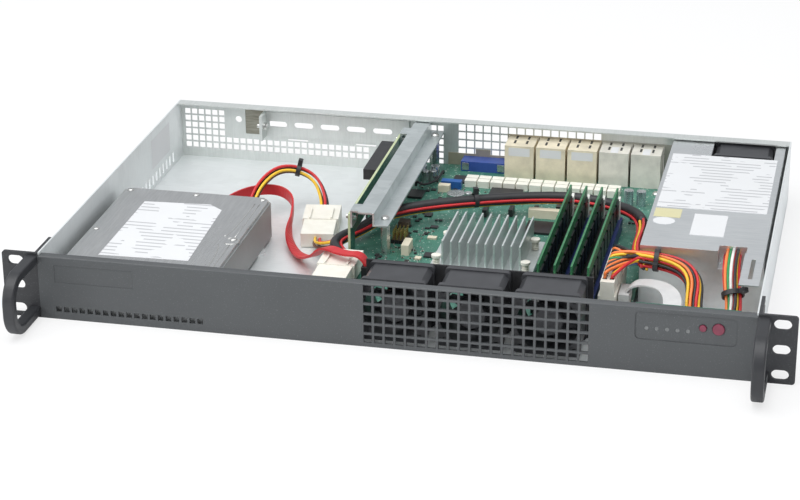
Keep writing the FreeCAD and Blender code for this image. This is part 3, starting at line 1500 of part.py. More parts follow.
def sweep(points, profile):
    """A lead of one section along a route, both ends cut square."""
    path = route(spots(points))
    shape = path.makePipeShell([profile], True, False)
    spare = abs(shape.Volume / (path.Length * Part.Face(profile).Area) - 1)
    if spare > 0.02:
        raise RuntimeError("a lead's volume is off by %.3f" % spare)
    return shape


def lead(points, radius):
    first, second = spots(points[:2])
    return sweep(points, Part.Wire([Part.makeCircle(number(radius), first, second - first)]))


def ribbon(points):
    """A flat lead standing on its edge where it starts."""
    first, second = spots(points[:2])
    along = (second - first).normalize()
    across = along.cross(Vector(0, 0, 1)).normalize() * (number("ribbon_thick") / 2)
    up = across.cross(along).normalize() * (number("ribbon_wide") / 2)
    corners = [first + across + up, first - across + up, first - across - up, first + across - up]
    return sweep(points, Part.makePolygon(corners + corners[:1]))


def tie(points, run, radius, turn=0):
    """A nylon tie drawn round a lead, half way along one of its runs, with its small lock turned round it."""
    start, end = spots(points[run:run + 2])
    wide, thick, inner = number("tie_wide"), number("tie_thick"), number(radius)
    along = (end - start).normalize()
    middle = (start + end) / 2 - along * (wide / 2)
    band = Part.makeCylinder(inner + thick, wide, middle, along)
    lock = Part.makeBox(wide, wide + thick, wide + thick, Vector(-wide / 2, -wide / 2, inner + thick / 2))
    aimed = Rotation(along, turn).multiply(Rotation(Vector(1, 0, 0), along))
    lock.Placement = FreeCAD.Placement((start + end) / 2, aimed)
    return band.fuse(lock).cut(Part.makeCylinder(inner, wide * 3, middle - along * wide, along))


def install(*shapes):
    """Put shapes that are drawn behind the front face into the server."""
    item = doc.addObject("Part::Feature", "Lead")
    item.Shape = shapes[0].fuse(list(shapes[1:])) if len(shapes) > 1 else shapes[0]
    return place(item)


def endAt(item, *seats):
    """A lead cut off flush where it meets the pieces that it goes into."""
    for seat in nodes:
        if seat.Label in seats:
            item = cut(item, seat)
    return item


def makeLeads():
    """The leads, each along its own route, and the ties round them."""
    plugTop = boardTop + " + plug_tall"
    plugMiddle = "plug_left + plug_wide / 2"
    plugDepth = "plug_front + plug_long / 2"
    harness = [("notch_at", "supply_front + notch_deep", supplyTop + " - notch_tall + harness_r + 0.3"),
               ("notch_at + 0.5", "supply_front - 18", supplyTop + " - 6.3"),
               ("notch_at + 6.5", "supply_front - 36", floorTop + " + 14"),
               ("notch_at + 1.5", "supply_front - 50", floorTop + " + 8"),
               ("notch_at - 14.5", "supply_front - 50", floorTop + " + 8"),
               ("notch_at - 19.5", "supply_front - 34", floorTop + " + 15"),
               ("notch_at - 20.5", "supply_front - 15", supplyTop + " - 12"),
               ("supply_left + 21", "supply_front - harness_r - 1.5", supplyTop + " - 6.5"),
               ("supply_left + 2", "supply_front - harness_r - 1.5", plugTop + " + 4"),
               (plugMiddle, plugDepth, plugTop + " - 4")]
    alley = "(plug_left + plug_wide + supply_left) / 2"
    memoryBack = "(module_front + module_long)"
    archMiddle = "(riser_front + riser_arch_start + riser_arch_long / 2)"
    bundle = [("supply_left + 6", plugDepth + " + 1", plugTop + " + 3"),
              (alley, "supply_front + 12", "supply_tall - 11"),
              (alley, memoryBack + " - 8", boardTop + " + 13"),
              ("socket_left + 3 * socket_pitch", memoryBack + " + 21", boardTop + " + 11"),
              ("socket_left - 14", memoryBack + " + 27", boardTop + " + 13"),
              ("riser_at + 17", archMiddle + " + 23", boardTop + " + 14"),
              ("riser_at", archMiddle, boardTop + " + 6.3"),
              ("riser_at - 12.5", archMiddle + " - 21", boardTop + " + 6.3"),
              ("second_joiner_at - 10", "second_joiner_front + 2 * joiner_long + 11", joinerLow + " + joiner_tall / 2"),
              ("second_joiner_at", "second_joiner_front + 2 * joiner_long - 2", joinerLow + " + joiner_tall / 2")]
    turned = "joiner_turn"
    farAcross = "first_joiner_at - 2 * joiner_long * sin(%s)" % turned
    farDeep = "first_joiner_front + 2 * joiner_long * cos(%s)" % turned
    middle = floorTop + " + joiner_tall / 2"
    branch = [("first_joiner_at", "first_joiner_front", middle),
              ("first_joiner_at + 3", "first_joiner_front - 18", middle + " + 2"),
              ("riser_at - 11", "second_joiner_front + 2 * joiner_long + 22", boardTop + " + 6.3")]
    whole = install(lead(harness, "harness_r"), lead(bundle, "bundle_r"), lead(branch, "thin_lead_r"))
    plug = block("plug_left", "plug_front", boardTop, "plug_wide", "plug_long", "plug_tall")
    publish("supply_harness", endAt(cut(whole, plug), "supply_case", "inline_connectors"))

    plugEnd = driveBack + " + drive_plug_deep"
    plugHigh = "drive_plug_low + drive_plug_tall / 2"
    powerAt = "power_plug_left + power_plug_wide / 2"
    power = [(powerAt, plugEnd, plugHigh),
             (powerAt, plugEnd + " + 9", plugHigh + " + 1"),
             (powerAt + " + 3", plugEnd + " + 26", plugHigh + " + 15"),
             (powerAt + " + 14", plugEnd + " + 45", plugHigh + " + 21"),
             (farAcross + " - 12", farDeep + " + 22", middle + " + 18"),
             (farAcross + " - 2", farDeep + " + 13", middle + " + 2"),
             (farAcross, farDeep, middle)]
    publish("drive_power_lead", endAt(install(lead(power, "thin_lead_r")), "data_and_power_plugs",
                                      "inline_connectors"))
    dataAt = "data_plug_left + data_plug_wide / 2"
    low = floorTop + " + ribbon_wide / 2 + 0.5"
    data = [(dataAt, plugEnd, plugHigh),
            (dataAt + " + 1", plugEnd + " + 16", low),
            (powerAt + " + 6", plugEnd + " + 30", low),
            (farAcross + " - 17", farDeep + " - 8", low),
            ("first_joiner_at - 22", "first_joiner_front", low),
            ("second_joiner_at - 26", "second_joiner_front + 52", low + " + 4"),
            ("second_joiner_at - 20", "second_joiner_front + 36", joinerLow + " + 12"),
            ("second_joiner_at - 10", "board_plug_front + 7", joinerLow + " + 21"),
            ("board_plug_left - 8", "board_plug_front + 6", joinerLow + " + 25"),
            ("board_plug_left + board_plug_wide / 2", "board_plug_front + board_plug_deep / 2",
             boardTop + " + board_plug_tall")]
    publish("data_lead", endAt(install(ribbon(data)), "data_and_power_plugs"))
    headerRight = "board_left + board_wide - front_header_in + front_header_wide"
    header = "control_board_back + board_thick + header_deep"
    control = [("control_left + header_in + 7", header, "control_board_low + header_up + header_tall / 2"),
               ("control_left + header_in + 5", header + " + 12", "control_board_low + header_up"),
               (headerRight + " + 13", "front_header_front + front_header_deep / 2",
                boardTop + " + front_header_tall / 2"),
               (headerRight, "front_header_front + front_header_deep / 2",
                boardTop + " + front_header_tall / 2")]
    publish("control_lead", endAt(install(lead(control, "control_lead_r")), "control_board",
                                  "data_and_power_plugs"))
    publish("cable_ties", group(install(tie(bundle, 4, "bundle_r")), install(tie(harness, 1, "harness_r")),
                                install(tie(harness, 7, "harness_r", 90)),
                                install(tie(power, 3, "thin_lead_r"))))


# ---- the whole server ----

makeTray()
makeRearPanel()
makeFrontPanel()
for side, sign in (("left", -1), ("right", 1)):
    makeEar(side, sign)
    makeHandle(side, sign)
makeControls()
makeDrive(drawScrew("lid_screw_r", "lid_screw_head_r", "lid_screw_head_tall", "lid_screw_long"))
makeBoard()
makeSink()
makeMemory()
fanFrame = drawFanFrame()
fanRotor = drawRotor()
makeFans(fanFrame, fanRotor)
makeSupply(fanFrame, fanRotor)
makePorts()
makeRiser()
makeBracket()
makeSlotCover()
makeSmallParts()
makePlugs()
makeLeads()
makeScrews(drawScrew("screw_r", "screw_head_r", "screw_head_tall", "screw_long"),
           drawScrew("big_screw_r", "big_screw_head_r", "big_screw_head_tall", "big_screw_long"),
           drawScrew("big_screw_r", "big_screw_head_r", "big_screw_head_tall", "ear_screw_long"))
doc.recompute()

for item in doc.Objects:
    if "Invalid" in item.State or "Error" in item.State:
        raise RuntimeError("%s did not build" % item.Name)
    if item.TypeId in ("PartDesign::Pocket", "PartDesign::MultiTransform"):
        before = getattr(item, "BaseFeature", None)
        if before and item.TypeId == "PartDesign::Pocket" and before.Shape.Volume - item.Shape.Volume < 0.01:
            raise RuntimeError("%s cuts nothing" % item.Name)
for item in nodes:
    shape = item.Shape
    if shape.isNull() or not shape.isValid() or not shape.Solids:
        raise RuntimeError("%s is not sound" % item.Label)
    shape.exportStep("parts/%s.step" % item.Label)
    box = shape.BoundBox
    print("%-22s %3d solids %9.0f mm3  x %7.1f %7.1f  y %7.1f %7.1f  z %5.1f %5.1f" % (
        item.Label, len(shape.Solids), shape.Volume, box.XMin, box.XMax, box.YMin, box.YMax,
        box.ZMin, box.ZMax))
print("%d nodes" % len(nodes))
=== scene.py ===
import json
import math

import bpy
import numpy as np
from mathutils import Matrix, Vector


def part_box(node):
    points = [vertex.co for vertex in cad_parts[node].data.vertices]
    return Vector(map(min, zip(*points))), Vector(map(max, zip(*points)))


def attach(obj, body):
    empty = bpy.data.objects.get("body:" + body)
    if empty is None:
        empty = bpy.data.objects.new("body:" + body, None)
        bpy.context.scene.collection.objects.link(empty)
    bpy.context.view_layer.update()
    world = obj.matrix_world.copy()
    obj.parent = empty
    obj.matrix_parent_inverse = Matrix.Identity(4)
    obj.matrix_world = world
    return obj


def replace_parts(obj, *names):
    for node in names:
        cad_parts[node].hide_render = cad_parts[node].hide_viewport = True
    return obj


# Looks of a short 1U rack server with its lid off.
# Metres. X to the right, Y from the front to the back, Z up, as in the solids.
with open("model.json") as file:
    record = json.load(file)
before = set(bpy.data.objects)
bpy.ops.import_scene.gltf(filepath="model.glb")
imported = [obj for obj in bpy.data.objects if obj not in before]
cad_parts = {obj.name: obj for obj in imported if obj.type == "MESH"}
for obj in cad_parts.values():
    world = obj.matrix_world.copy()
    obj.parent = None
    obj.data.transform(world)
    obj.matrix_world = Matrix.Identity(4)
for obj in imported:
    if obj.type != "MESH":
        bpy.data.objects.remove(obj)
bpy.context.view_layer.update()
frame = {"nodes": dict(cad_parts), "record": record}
nodes = frame["nodes"]
frontFace = -0.1228
boardTop = 0.0092
portDivide = 0.0885  # between the third and the fourth column of network ports


# A place in metres, from millimetres with the depth measured back from the front panel's face.
def at(x, depth, z):
    return (x * 0.001, frontFace + depth * 0.001, z * 0.001)


# The camera's place, its angles in radians and its lens in millimetres.
view = {"place": at(282.2, -1204.27, 592.6), "turn": 0.223278, "drop": 0.403932, "roll": -0.007906,
        "lens": 103.173}
forward = Vector((-math.sin(view["turn"]) * math.cos(view["drop"]),
                  math.cos(view["turn"]) * math.cos(view["drop"]), -math.sin(view["drop"])))
level = Vector((math.cos(view["turn"]), math.sin(view["turn"]), 0))
upright = level.cross(forward)
right = level * math.cos(view["roll"]) + upright * math.sin(view["roll"])
up = upright * math.cos(view["roll"]) - level * math.sin(view["roll"])
lensData = bpy.data.cameras.new("mainView")
lensData.lens = view["lens"]
lensData.sensor_width = 36
lensData.clip_end = 20
camera = bpy.data.objects.new("mainView", lensData)
camera.matrix_world = Matrix(((right.x, up.x, -forward.x, view["place"][0]),
                              (right.y, up.y, -forward.y, view["place"][1]),
                              (right.z, up.z, -forward.z, view["place"][2]),
                              (0, 0, 0, 1)))
bpy.context.scene.collection.objects.link(camera)
bpy.context.scene.camera = camera
bpy.context.scene.view_settings.view_transform = "Standard"
print("camera placed")


# An empty shader group with named inputs and outputs.
def newGroup(name, inputs, outputs):
    tree = bpy.data.node_groups.new(name, "ShaderNodeTree")
    for label, kind, value in inputs:
        socket = tree.interface.new_socket(label, in_out="INPUT", socket_type=kind)
        if value is not None:
            socket.default_value = value
    for label, kind in outputs:
        tree.interface.new_socket(label, in_out="OUTPUT", socket_type=kind)
    return tree, tree.nodes.new("NodeGroupInput"), tree.nodes.new("NodeGroupOutput")


# A node with its settings and its inputs, each a constant or another socket. An input is called by
# its name, or by i and its number.
def addNode(tree, kind, settings=None, **links):
    node = tree.nodes.new(kind)
    for key, value in (settings or {}).items():
        setattr(node, key, value)
    for key, value in links.items():
        numbered = key[0] == "i" and key[1:].isdigit()
        socket = node.inputs[int(key[1:]) if numbered else key.replace("_", " ")]
        if isinstance(value, bpy.types.NodeSocket):
            tree.links.new(value, socket)
        else:
            socket.default_value = value
    return node


# The result of one calculation on one or two values.
def mathNode(tree, operation, first, second=0.0):
    return addNode(tree, "ShaderNodeMath", {"operation": operation}, i0=first, i1=second).outputs[0]


# The first colour where the amount is 0, the second where it is 1.
def mixColour(tree, amount, first, second):
    return addNode(tree, "ShaderNodeMix", {"data_type": "RGBA"}, i0=amount, i6=first, i7=second).outputs[2]


# An opaque colour.
def colour(red, green, blue):
    return (red, green, blue, 1.0)


# A shader group placed in a material, with this material's own values.
def useGroup(tree, group, **links):
    return addNode(tree, "ShaderNodeGroup", {"node_tree": group}, **links)


# Two sizes of noise: fine grain for relief and slow patches for tone and gloss.
def makeGrainGroup():
    inputs = [("Vector", "NodeSocketVector", None), ("Fine", "NodeSocketFloat", 900.0),
              ("Slow", "NodeSocketFloat", 18.0)]
    outputs = [("Fine", "NodeSocketFloat"), ("Slow", "NodeSocketFloat")]
    tree, given, made = newGroup("grain", inputs, outputs)
    place, fineScale, slowScale = given.outputs[:3]
    fine = addNode(tree, "ShaderNodeTexNoise", None, Vector=place, Scale=fineScale, Detail=3.0)
    slow = addNode(tree, "ShaderNodeTexNoise", None, Vector=place, Scale=slowScale, Detail=5.0,
                   Roughness=0.6)
    tree.links.new(fine.outputs[0], made.inputs[0])
    tree.links.new(slow.outputs[0], made.inputs[1])
    return tree


# The crystal patches of zinc on steel, each with its own tone.
def makeSpangleGroup():
    inputs = [("Vector", "NodeSocketVector", None), ("Scale", "NodeSocketFloat", 160.0)]
    tree, given, made = newGroup("spangle", inputs, [("Tone", "NodeSocketFloat")])
    bent = addNode(tree, "ShaderNodeTexNoise", None, Vector=given.outputs[0], Scale=60.0, Detail=2.0)
    shifted = addNode(tree, "ShaderNodeVectorMath", {"operation": "MULTIPLY_ADD"}, i0=bent.outputs[1],
                      i1=(0.004, 0.004, 0.004), i2=given.outputs[0])
    cells = addNode(tree, "ShaderNodeTexVoronoi", None, Vector=shifted.outputs[0], Scale=given.outputs[1])
    split = addNode(tree, "ShaderNodeSeparateColor", None, i0=cells.outputs["Color"])
    tree.links.new(split.outputs[0], made.inputs[0])
    return tree


# Copper tracks under solder mask: square-cornered cell walls, with small round pads between.
def makeTraceGroup():
    inputs = [("Vector", "NodeSocketVector", None), ("Scale", "NodeSocketFloat", 150.0)]
    outputs = [("Tracks", "NodeSocketFloat"), ("Pads", "NodeSocketFloat")]
    tree, given, made = newGroup("tracks", inputs, outputs)
    cells = addNode(tree, "ShaderNodeTexVoronoi", {"feature": "F1", "distance": "CHEBYCHEV"},
                    Vector=given.outputs[0], Scale=given.outputs[1])
    ridge = mathNode(tree, "PINGPONG", cells.outputs["Distance"], 0.07)
    tree.links.new(mathNode(tree, "GREATER_THAN", ridge, 0.042), made.inputs[0])
    dense = mathNode(tree, "MULTIPLY", given.outputs[1], 2.6)
    dots = addNode(tree, "ShaderNodeTexVoronoi", None, Vector=given.outputs[0], Scale=dense)
    tree.links.new(mathNode(tree, "LESS_THAN", dots.outputs["Distance"], 0.17), made.inputs[1])
    return tree


grainGroup = makeGrainGroup()
spangleGroup = makeSpangleGroup()
trackGroup = makeTraceGroup()


# An empty material with its object coordinates.
def newSurface(name):
    material = bpy.data.materials.new(name)
    material.use_nodes = True
    tree = material.node_tree
    tree.nodes.clear()
    place = tree.nodes.new("ShaderNodeTexCoord").outputs["Object"]
    return material, tree, place


# The shader itself, with rounded-looking edges and a relief from the grain.
def finishSurface(tree, base, roughness, metallic=0.0, relief=None, depth=0.1, size=0.0002, soft=0.0):
    shader = addNode(tree, "ShaderNodeBsdfPrincipled", None, Base_Color=base, Roughness=roughness,
                     Metallic=metallic)
    normal = None
    if soft:
        normal = addNode(tree, "ShaderNodeBevel", {"samples": 3}, Radius=soft).outputs[0]
    if relief is not None:
        bump = addNode(tree, "ShaderNodeBump", None, Strength=depth, Distance=size, Height=relief)
        if normal is not None:
            tree.links.new(normal, bump.inputs["Normal"])
        normal = bump.outputs[0]
    if normal is not None:
        tree.links.new(normal, shader.inputs["Normal"])
    output = tree.nodes.new("ShaderNodeOutputMaterial")
    tree.links.new(shader.outputs[0], output.inputs[0])


# A noise value spread between two limits; most of a noise lies between 0.3 and 0.7.
def spread(tree, value, low, high):
    return addNode(tree, "ShaderNodeMapRange", None, i0=value, i1=0.3, i2=0.7, i3=low, i4=high).outputs[0]


# Two tones patched together, with grain in the gloss and the relief.
def plainSurface(name, tones, roughness, metallic=0.0, fine=900.0, slow=18.0, depth=0.1, soft=0.0002):
    material, tree, place = newSurface(name)
    grain = useGroup(tree, grainGroup, Vector=place, Fine=fine, Slow=slow)
    base = mixColour(tree, spread(tree, grain.outputs[1], 0.0, 1.0), colour(*tones[0]), colour(*tones[1]))
    gloss = spread(tree, grain.outputs[1], roughness * 0.85, roughness * 1.15)
    finishSurface(tree, base, gloss, metallic, grain.outputs[0], depth, soft=soft)
    return material


# Plated sheet steel: rolled streaks along one direction, and zinc spangle where it has any.
def brushedSurface(name, tones, roughness, along=(1, 1, 1), spangle=0.0, soft=0.0002, metallic=0.9):
    material, tree, place = newSurface(name)
    stretched = addNode(tree, "ShaderNodeMapping", None, Vector=place, Scale=along)
    streaks = addNode(tree, "ShaderNodeTexNoise", None, Vector=stretched.outputs[0], Scale=60.0, Detail=6.0,
                      Roughness=0.7)
    grain = useGroup(tree, grainGroup, Vector=place, Fine=500.0, Slow=9.0)
    patch = useGroup(tree, spangleGroup, Vector=place, Scale=110.0)
    tone = mathNode(tree, "MULTIPLY", patch.outputs[0], spangle)
    tone = mathNode(tree, "ADD", tone, spread(tree, streaks.outputs[0], 0.0, 1.0 - spangle))
    base = mixColour(tree, tone, colour(*tones[0]), colour(*tones[1]))
    gloss = spread(tree, grain.outputs[1], roughness * 0.8, roughness * 1.25)
    finishSurface(tree, base, gloss, metallic, streaks.outputs[0], 0.05, soft=soft)
    return material


# Puts a material on the named solids.
def dress(material, *names):
    for name in names:
        for slot in nodes[name].material_slots:
            slot.material = material


# Powder paint: fine orange-peel relief and a little dust.
def paintSurface(name, tones, roughness=0.5):
    material, tree, place = newSurface(name)
    grain = useGroup(tree, grainGroup, Vector=place, Fine=1500.0, Slow=6.0)
    peel = addNode(tree, "ShaderNodeTexVoronoi", {"feature": "SMOOTH_F1"}, Vector=place, Scale=900.0)
    height = mathNode(tree, "ADD", peel.outputs["Distance"], grain.outputs[0])
    base = mixColour(tree, spread(tree, grain.outputs[1], 0.0, 1.0), colour(*tones[0]), colour(*tones[1]))
    speck = mathNode(tree, "GREATER_THAN", grain.outputs[0], 0.66)
    base = mixColour(tree, mathNode(tree, "MULTIPLY", speck, 0.25), base, colour(0.3, 0.31, 0.32))
    gloss = spread(tree, grain.outputs[1], roughness * 0.9, roughness * 1.1)
    finishSurface(tree, base, gloss, 0.0, height, 0.12, soft=0.0004)
    return material


steel = brushedSurface("zincSheet", ((0.78, 0.81, 0.81), (0.88, 0.91, 0.91)), 0.42, (1, 14, 1),
                       0.35, metallic=0.45)
# The rear wall and the slot cover get a darker copy of the same zinc sheet: painted shade on those parts.
shadedRearSteel = brushedSurface("zincSheetRearShaded", ((0.66, 0.69, 0.67), (0.78, 0.81, 0.79)), 0.42,
                           (14, 1, 1), 0.3, metallic=0.6)
railSteel = brushedSurface("railSteel", ((0.54, 0.59, 0.59), (0.72, 0.77, 0.77)), 0.36,
                           (1, 10, 1), 0.5, metallic=0.75)
supplySteel = brushedSurface("supplySheet", ((0.76, 0.79, 0.80), (0.9, 0.92, 0.92)), 0.3,
                             (1, 12, 1), 0.15)
dress(steel, "chassis_tray")
dress(shadedRearSteel, "rear_panel", "slot_cover")
dress(railSteel, "riser_bracket")
dress(supplySteel, "supply_case")
dress(paintSurface("frontPaint", ((0.068, 0.073, 0.076), (0.092, 0.098, 0.102))), "front_panel")
dress(paintSurface("earPaint", ((0.028, 0.029, 0.032), (0.042, 0.044, 0.048))),
      "rack_ear_left", "rack_ear_right")
dress(plainSurface("handlePaint", ((0.022, 0.023, 0.026), (0.036, 0.038, 0.042)), 0.42, fine=1400.0,
                   depth=0.06), "handle_left", "handle_right")
dress(plainSurface("screwPlate", ((0.6, 0.6, 0.58), (0.75, 0.75, 0.73)), 0.28, 0.95, slow=300.0),
      "machine_screws", "ear_screws", "handle_screws", "drive_screws", "board_standoffs")
driveCast = plainSurface("driveCasting", ((0.27, 0.28, 0.28), (0.38, 0.39, 0.39)), 0.5, 0.35,
                         fine=1200.0, depth=0.25)
driveLid = brushedSurface("driveLid", ((0.55, 0.56, 0.56), (0.68, 0.69, 0.69)), 0.3, (12, 1, 1), 0.0)
dress(driveCast, "drive_casting")
dress(driveLid, "drive_cover")
sinkMetal = brushedSurface("sinkMetal", ((0.62, 0.67, 0.66), (0.76, 0.80, 0.79)), 0.38, (1, 1, 20),
                           metallic=0.6)
dress(sinkMetal, "heatsink")
dress(plainSurface("chipLid", ((0.5, 0.5, 0.5), (0.6, 0.6, 0.6)), 0.3, 0.9), "processor")
fanBlack = plainSurface("fanPlastic", ((0.035, 0.036, 0.04), (0.06, 0.062, 0.068)), 0.38, slow=60.0)
dress(fanBlack, "fan_frames", "supply_fan_frame")
rotorBlack = plainSurface("rotorPlastic", ((0.05, 0.052, 0.056), (0.08, 0.082, 0.09)), 0.32, slow=80.0)
dress(rotorBlack, "fan_rotor_1", "fan_rotor_2", "fan_rotor_3", "supply_fan_rotor")
blackPlastic = plainSurface("blackPlastic", ((0.018, 0.018, 0.02), (0.035, 0.035, 0.038)), 0.45,
                            slow=90.0)
dress(blackPlastic, "fan_holder", "cable_ties", "supply_inlet", "card_sockets")
whitePlastic = plainSurface("whitePlastic", ((0.82, 0.79, 0.70), (0.9, 0.88, 0.8)), 0.4, slow=120.0)
dress(whitePlastic, "inline_connectors", "main_power_plug", "heatsink_pins")
dress(plainSurface("latchPlastic", ((0.78, 0.78, 0.74), (0.88, 0.88, 0.84)), 0.36, slow=200.0),
      *["memory_latch_%d" % index for index in range(1, 9)])
dress(plainSurface("filterBody", ((0.80, 0.79, 0.70), (0.90, 0.89, 0.80)), 0.5, slow=160.0, depth=0.2),
      "line_filters")
dress(plainSurface("canMetal", ((0.55, 0.6, 0.64), (0.7, 0.74, 0.78)), 0.25, 0.9, slow=300.0),
      "capacitors")
dress(plainSurface("videoPlastic", ((0.03, 0.07, 0.30), (0.05, 0.11, 0.42)), 0.32, slow=90.0),
      "video_port")
dress(plainSurface("buttonPlastic", ((0.19, 0.032, 0.062), (0.26, 0.046, 0.082)), 0.34, slow=400.0),
      "power_button", "reset_button")
dress(plainSurface("lampPlastic", ((0.14, 0.15, 0.15), (0.24, 0.25, 0.25)), 0.2, slow=500.0),
      "indicator_lenses")
redLead = plainSurface("redLead", ((0.50, 0.012, 0.02), (0.62, 0.03, 0.035)), 0.4, slow=60.0)
blackLead = plainSurface("blackLead", ((0.015, 0.015, 0.017), (0.03, 0.03, 0.032)), 0.45, slow=60.0)
dress(redLead, "data_lead")
dress(blackLead, "control_lead", "drive_power_lead", "supply_harness")


# Solder mask over copper: tracks a shade lighter, pads bright, and a soft gloss.
def boardSurface(name, dark, light, scale=150.0):
    material, tree, place = newSurface(name)
    tracks = useGroup(tree, trackGroup, Vector=place, Scale=scale)
    grain = useGroup(tree, grainGroup, Vector=place, Fine=700.0, Slow=26.0)
    base = mixColour(tree, spread(tree, grain.outputs[1], 0.0, 1.0), dark, light)
    lighter = mixColour(tree, 0.35, light, colour(0.22, 0.5, 0.38))
    base = mixColour(tree, mathNode(tree, "MULTIPLY", tracks.outputs[0], 0.55), base, lighter)
    base = mixColour(tree, tracks.outputs[1], base, colour(0.62, 0.68, 0.6))
    finishSurface(tree, base, spread(tree, grain.outputs[0], 0.3, 0.42), 0.0, tracks.outputs[0], 0.15,
                  size=0.00008)
    return material


boardGreen = boardSurface("boardGreen", colour(0.025, 0.115, 0.085), colour(0.055, 0.215, 0.155))
dress(boardGreen, "motherboard", "riser_card", "drive_circuit_board")


# One material for pieces that differ in colour along an axis: each cut starts the next tone.
def sortedSurface(name, axis, cuts, tones, roughness, metallic=0.0):
    material, tree, place = newSurface(name)
    parts = addNode(tree, "ShaderNodeSeparateXYZ", None, i0=place)
    grain = useGroup(tree, grainGroup, Vector=place, Fine=900.0, Slow=90.0)
    base = tones[0]
    for cut, tone in zip(cuts, tones[1:]):
        base = mixColour(tree, mathNode(tree, "GREATER_THAN", parts.outputs[axis], cut), base, tone)
    shade = mixColour(tree, spread(tree, grain.outputs[1], 0.75, 1.0), colour(0, 0, 0), base)
    finishSurface(tree, shade, spread(tree, grain.outputs[1], roughness * 0.85, roughness * 1.15), metallic,
                  grain.outputs[0], 0.08, soft=0.0002)
    return material


navy, black = colour(0.018, 0.036, 0.17), colour(0.014, 0.014, 0.016)
socketCuts = [0.0872, 0.0975, 0.1078]  # between neighbouring memory sockets
controlCuts = [at(0, 8.99, 0)[1], at(0, 10.62, 0)[1]]  # the front and back of the control board's card
plugCuts = [-0.1475, -0.05, 0.05]  # right of the drive's data plug, then between the board's plugs
dress(sortedSurface("portMetal", 0, [portDivide], [colour(0.95, 0.86, 0.66), colour(0.9, 0.87, 0.78)],
                    0.4, 0.15), "network_ports")
dress(sortedSurface("shieldMetal", 0, [portDivide], [colour(0.56, 0.50, 0.38), colour(0.50, 0.49, 0.44)],
                    0.42, 0.5), "port_shield")
dress(sortedSurface("socketPlastic", 0, socketCuts, [black, navy, black, navy], 0.42), "memory_sockets")
dress(sortedSurface("controlParts", 1, controlCuts,
                    [black, colour(0.015, 0.14, 0.09), colour(0.75, 0.74, 0.68)], 0.42), "control_board")
dress(sortedSurface("plugPlastic", 0, plugCuts,
                    [colour(0.6, 0.03, 0.02), black, black, colour(0.72, 0.69, 0.55)], 0.42),
      "data_and_power_plugs")


# Memory modules: black chips stand out from a green card by how far they are from its middle.
def moduleSurface():
    material, tree, place = newSurface("moduleCards")
    parts = addNode(tree, "ShaderNodeSeparateXYZ", None, i0=place)
    module = {"pitch": 0.01024, "first": 0.08216, "halfCard": 0.00068}
    pitch = module["pitch"]
    steps = mathNode(tree, "ADD", parts.outputs[0], pitch / 2 - module["first"])
    inside = mathNode(tree, "SUBTRACT", mathNode(tree, "FLOORED_MODULO", steps, pitch), pitch / 2)
    chip = mathNode(tree, "GREATER_THAN", mathNode(tree, "ABSOLUTE", inside), module["halfCard"])
    grain = useGroup(tree, grainGroup, Vector=place, Fine=900.0, Slow=200.0)
    tracks = useGroup(tree, trackGroup, Vector=place, Scale=260.0)
    card = mixColour(tree, tracks.outputs[0], colour(0.03, 0.16, 0.07), colour(0.06, 0.24, 0.10))
    base = mixColour(tree, chip, card, colour(0.014, 0.015, 0.017))
    finishSurface(tree, base, spread(tree, grain.outputs[0], 0.3, 0.42), 0.0, grain.outputs[0], 0.08,
                  soft=0.00015)
    return material


dress(moduleSurface(), "memory_modules")
print("solids dressed")


# A mesh from arrays of points and faces, riding on a body unless it belongs to the stage.
def addMesh(name, vertices, faces, material, body="case"):
    mesh = bpy.data.meshes.new(name)
    mesh.from_pydata(vertices.tolist(), [], faces.tolist() if hasattr(faces, "tolist") else faces)
    mesh.update()
    piece = bpy.data.objects.new(name, mesh)
    bpy.context.scene.collection.objects.link(piece)
    mesh.materials.append(material)
    if body:
        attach(piece, body)
    return piece


# Many boxes as one mesh: each corner is its centre plus or minus its half sizes.
def boxes(name, centres, halves, material):
    centres, halves = np.atleast_2d(centres), np.atleast_2d(halves)
    corners = np.array([[x, y, z] for z in (-1, 1) for y in (-1, 1) for x in (-1, 1)])
    vertices = (centres[:, None, :] + corners[None] * halves[:, None, :]).reshape(-1, 3)
    sides = np.array([[0, 2, 3, 1], [4, 5, 7, 6], [0, 1, 5, 4], [2, 6, 7, 3], [0, 4, 6, 2], [1, 3, 7, 5]])
    faces = (sides[None] + 8 * np.arange(len(centres))[:, None, None]).reshape(-1, 4)
    return addMesh(name, vertices, faces, material)


# A smooth line through points: each stretch is a Catmull-Rom cubic of the four points around it.
def smooth(points, steps=10):
    points = np.array(points, float)
    points = np.vstack([2 * points[0] - points[1], points, 2 * points[-1] - points[-2]])
    t = np.linspace(0, 1, steps, endpoint=False)[:, None]
    runs = []
    for a, b, c, d in zip(points, points[1:], points[2:], points[3:]):
        runs.append(0.5 * (2 * b + (c - a) * t + (2 * a - 5 * b + 4 * c - d) * t ** 2
                           + (3 * b - a - 3 * c + d) * t ** 3))
    return np.vstack(runs + [points[-2:-1]])


# Two directions across a line, carried along it without twist: at each point the last direction less
# its part along the line, made one long, and the cross product of the line with it.
def carried(path):
    ahead = np.gradient(path, axis=0)
    ahead /= np.linalg.norm(ahead, axis=1)[:, None]
    side = np.cross(ahead[0], [0, 0, 1.0])
    if np.linalg.norm(side) < 0.1:
        side = np.cross(ahead[0], [1.0, 0, 0])
    sides = []
    for direction in ahead:
        side = side - direction * side.dot(direction)
        side = side / np.linalg.norm(side)
        sides.append(side)
    sides = np.array(sides)
    return sides, np.cross(ahead, sides)


# A strand beside a line: the line plus its radius times a slowly turning direction.
def beside(path, radius, turn, twists):
    first, second = carried(path)
    angle = (turn + np.linspace(0, twists, len(path)) * 2 * math.pi)[:, None]
    return path + radius * (np.cos(angle) * first + np.sin(angle) * second)


